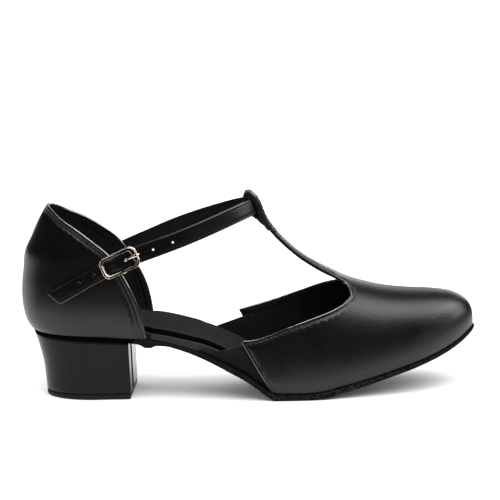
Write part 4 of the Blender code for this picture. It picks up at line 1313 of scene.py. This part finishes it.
def rounded_box(back, front, bottom, top, corner):
    """Outline of a box with round corners, with the same count of points whatever its size."""
    points = []
    corners = (
        (front - corner, top - corner, 0), (back + corner, top - corner, 90),
        (back + corner, bottom + corner, 180), (front - corner, bottom + corner, 270),
    )
    for k, (a, w, start) in enumerate(corners):
        for n in range(CORNER_STEPS + 1):
            turn = radians(start + 90 * n / CORNER_STEPS)
            points.append(Vector((a + corner * cos(turn), w + corner * sin(turn))))
        a2, w2, start2 = corners[(k + 1) % len(corners)]
        one = points[-1]
        two = Vector((a2 + corner * cos(radians(start2)), w2 + corner * sin(radians(start2))))
        points += [one.lerp(two, n / SIDE_STEPS) for n in range(1, SIDE_STEPS)]
    return points


seat, ahead, upward, outward = buckle_seat()
rim = rounded_box(-BUCKLE_LONG / 2, BUCKLE_LONG / 2, -BUCKLE_WIDE / 2, BUCKLE_WIDE / 2, BUCKLE_CORNER)
window = rounded_box(
    -BUCKLE_LONG / 2 + BARS.back, BUCKLE_LONG / 2 - BARS.front,
    -BUCKLE_WIDE / 2 + BARS.bottom, BUCKLE_WIDE / 2 - BARS.top, WINDOW_CORNER,
)
rings = []
for row in FRAME_ROWS:
    flat = [one.lerp(two, row.share) for one, two in zip(rim, window)]
    rings.append([seat + ahead * p.x + upward * p.y + outward * (FRAME_LIFT + row.height) for p in flat])
METAL = finished(
    "plated_metal", {"Metallic": 1.0}, (GRAIN, {"Pebbles": 2600.0, "Finish": 300.0}),
    dark=(0.9, 0.77, 0.66), light=(0.96, 0.84, 0.74), relief=METAL_RELIEF, rough=(0.06, 0.14),
)
buckle = loft("buckle_frame_metal", rings, [METAL], closed=True)
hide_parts("buckle_frame")

bar = CROSS_UNDER + CROSS_WIDE
low_end = -CROSS_REACH - CROSS_END
cross = (
    (low_end, CROSS_UNDER), (CROSS_REACH, CROSS_UNDER), (CROSS_REACH, CROSS_RISE), (CROSS_CLEAR, CROSS_RISE),
    (CROSS_CLEAR, bar), (-CROSS_CLEAR, bar), (-CROSS_CLEAR, CROSS_RISE), (-CROSS_REACH, CROSS_RISE),
    (-CROSS_REACH, bar), (low_end, bar),
)
rings = []
for along in (-CROSS_WIDE / 2, CROSS_WIDE / 2):
    middle = seat - upward * BUCKLE_UP + ahead * along
    rings.append([middle + upward * across + outward * out for across, out in cross])
cross_bar = loft("buckle_cross_bar_metal", rings, [METAL])

rings = []
for k, row in enumerate(PRONG):
    before, after = PRONG[max(k - 1, 0)], PRONG[min(k + 1, len(PRONG) - 1)]
    run = Vector((after.along - before.along, after.out - before.out)).normalized()
    ring = []
    for n in range(PRONG_TURNS):
        a = radians(360 * n / PRONG_TURNS)
        lift = cos(a) * row.radius
        spot = seat + ahead * (row.along - run.y * lift) + outward * (row.out + run.x * lift)
        ring.append(spot + upward * sin(a) * row.radius)
    rings.append(ring)
prong = loft("buckle_prong_metal", rings, [METAL])
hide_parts("buckle_prong")

# Studio: plain pale floor under a white tent, with a wide soft sky from the front and the toe's side.
# The softboxes and the wall behind show only in reflections, as do the cloths on the floor round the shoe.
FLOOR_SIZE = 14.0
FLOOR_PAPER = {"Base Color": (0.9, 0.894, 0.88, 1.0), "Roughness": 0.9}
TENT = (1.34, 1.34, 1.34, 1.0)
SKY_WIDE = 50.0
SKY_TILT = 34.0
SKY_LEAN = 16.0
SKY_POWER = 2.3
SKY_PLACE = (0.0, 0.0, 2.0)
Box = namedtuple("Box", "name size place tilt power")
BOXES = (
    Box("softbox", (1.6, 0.8), (0.45, -0.15, 1.25), (0.0, 12.0, 0.0), 21.0),
    Box("side_box", (1.0, 0.8), (1.2, 0.03, 0.77), (0.0, 58.0, 0.0), 13.0),
    Box("front_box", (0.5, 1.4), (1.8, -1.8, 0.3), (0.0, 90.0, -45.0), 2.4),
    Box("back_wall", (2.4, 1.2), (0.0, 1.9, 0.9), (-65.0, 0.0, 0.0), 9.0),
    Box("back_box", (0.7, 0.45), (0.55, 1.8, 0.42), (-79.0, 0.0, -17.0), 2.5),
)
Cloth = namedtuple("Cloth", "name tone left right front back")
CLOTHS = (
    Cloth("front_cloth", 0.01, -4.0, 4.0, -4.0, -0.16),
    Cloth("arch_cloth", 0.01, -0.055, 0.015, -0.16, -0.085),
    Cloth("heel_cloth", 0.01, -4.0, -0.30, -0.16, 0.0),
    Cloth("side_cloth", 0.85, -4.0, -0.30, 0.0, 4.0),
    Cloth("toe_cloth", 0.04, 0.42, 4.0, -0.16, 0.20),
    Cloth("back_cloth", 0.08, -0.30, 4.0, 0.20, 4.0),
)
CLOTH_LIFT = 0.002

bpy.ops.mesh.primitive_plane_add(size=FLOOR_SIZE)
floor = bpy.context.object
floor.name = "floor"
floor.data.materials.append(surface("floor_paper", FLOOR_PAPER))
for row in CLOTHS:
    middle = ((row.left + row.right) / 2, (row.front + row.back) / 2, CLOTH_LIFT)
    bpy.ops.mesh.primitive_plane_add(size=1.0, location=middle)
    sheet = bpy.context.object
    sheet.name = row.name
    sheet.scale = (row.right - row.left, row.back - row.front, 1.0)
    matt = {"Base Color": (row.tone, row.tone, row.tone, 1.0), "Roughness": 1.0}
    sheet.data.materials.append(surface(row.name, matt))
    sheet.visible_camera = False
    sheet.visible_diffuse = False
    sheet.visible_shadow = False


def add_light(name, kind, power, place_at, turn):
    """A lamp that the camera doesn't see, turned by angles in degrees."""
    data = bpy.data.lights.new(name, kind)
    data.energy = power
    lamp = bpy.data.objects.new(name, data)
    lamp.location = place_at
    lamp.rotation_euler = [radians(angle) for angle in turn]
    lamp.visible_camera = False
    bpy.context.scene.collection.objects.link(lamp)
    return lamp


sky = add_light("sky", "SUN", SKY_POWER, SKY_PLACE, (SKY_TILT, SKY_LEAN, 0.0))
sky.data.angle = radians(SKY_WIDE)
sky.visible_glossy = False
for row in BOXES:
    lamp = add_light(row.name, "AREA", row.power, row.place, row.tilt)
    lamp.data.shape = "RECTANGLE"
    lamp.data.size, lamp.data.size_y = row.size
    lamp.visible_diffuse = False
world = bpy.data.worlds.new("tent")
world.use_nodes = True
world.node_tree.nodes["Background"].inputs["Color"].default_value = TENT
world.cycles_visibility.glossy = False
bpy.context.scene.world = world
bpy.context.scene.view_settings.view_transform = "Standard"

# Camera: the photo's place, a little towards the toe and above the shoe, with a long lens. It is set
# in the last's frame and so rolled by the slope of the floor in it.
CAMERA_FAR = 2000.0
CAMERA_UP = 10.8
CAMERA_ROUND = 3.0
CAMERA_LENS = 262.45
CAMERA_TARGET = Vector((125.0, 0.0, 78.7))

lens = bpy.data.cameras.new("camera")
lens.lens = CAMERA_LENS
camera = bpy.data.objects.new("camera", lens)
bpy.context.scene.collection.objects.link(camera)
up, turn = radians(CAMERA_UP), radians(CAMERA_ROUND)
spot = CAMERA_TARGET + CAMERA_FAR * Vector((sin(turn) * cos(up), -cos(turn) * cos(up), sin(up)))
look = (CAMERA_TARGET - spot).to_track_quat("-Z", "Y")
camera.location = place(spot)
camera.rotation_euler = (Quaternion((0.0, 1.0, 0.0), radians(PITCH)) @ look).to_euler()
bpy.context.scene.camera = camera
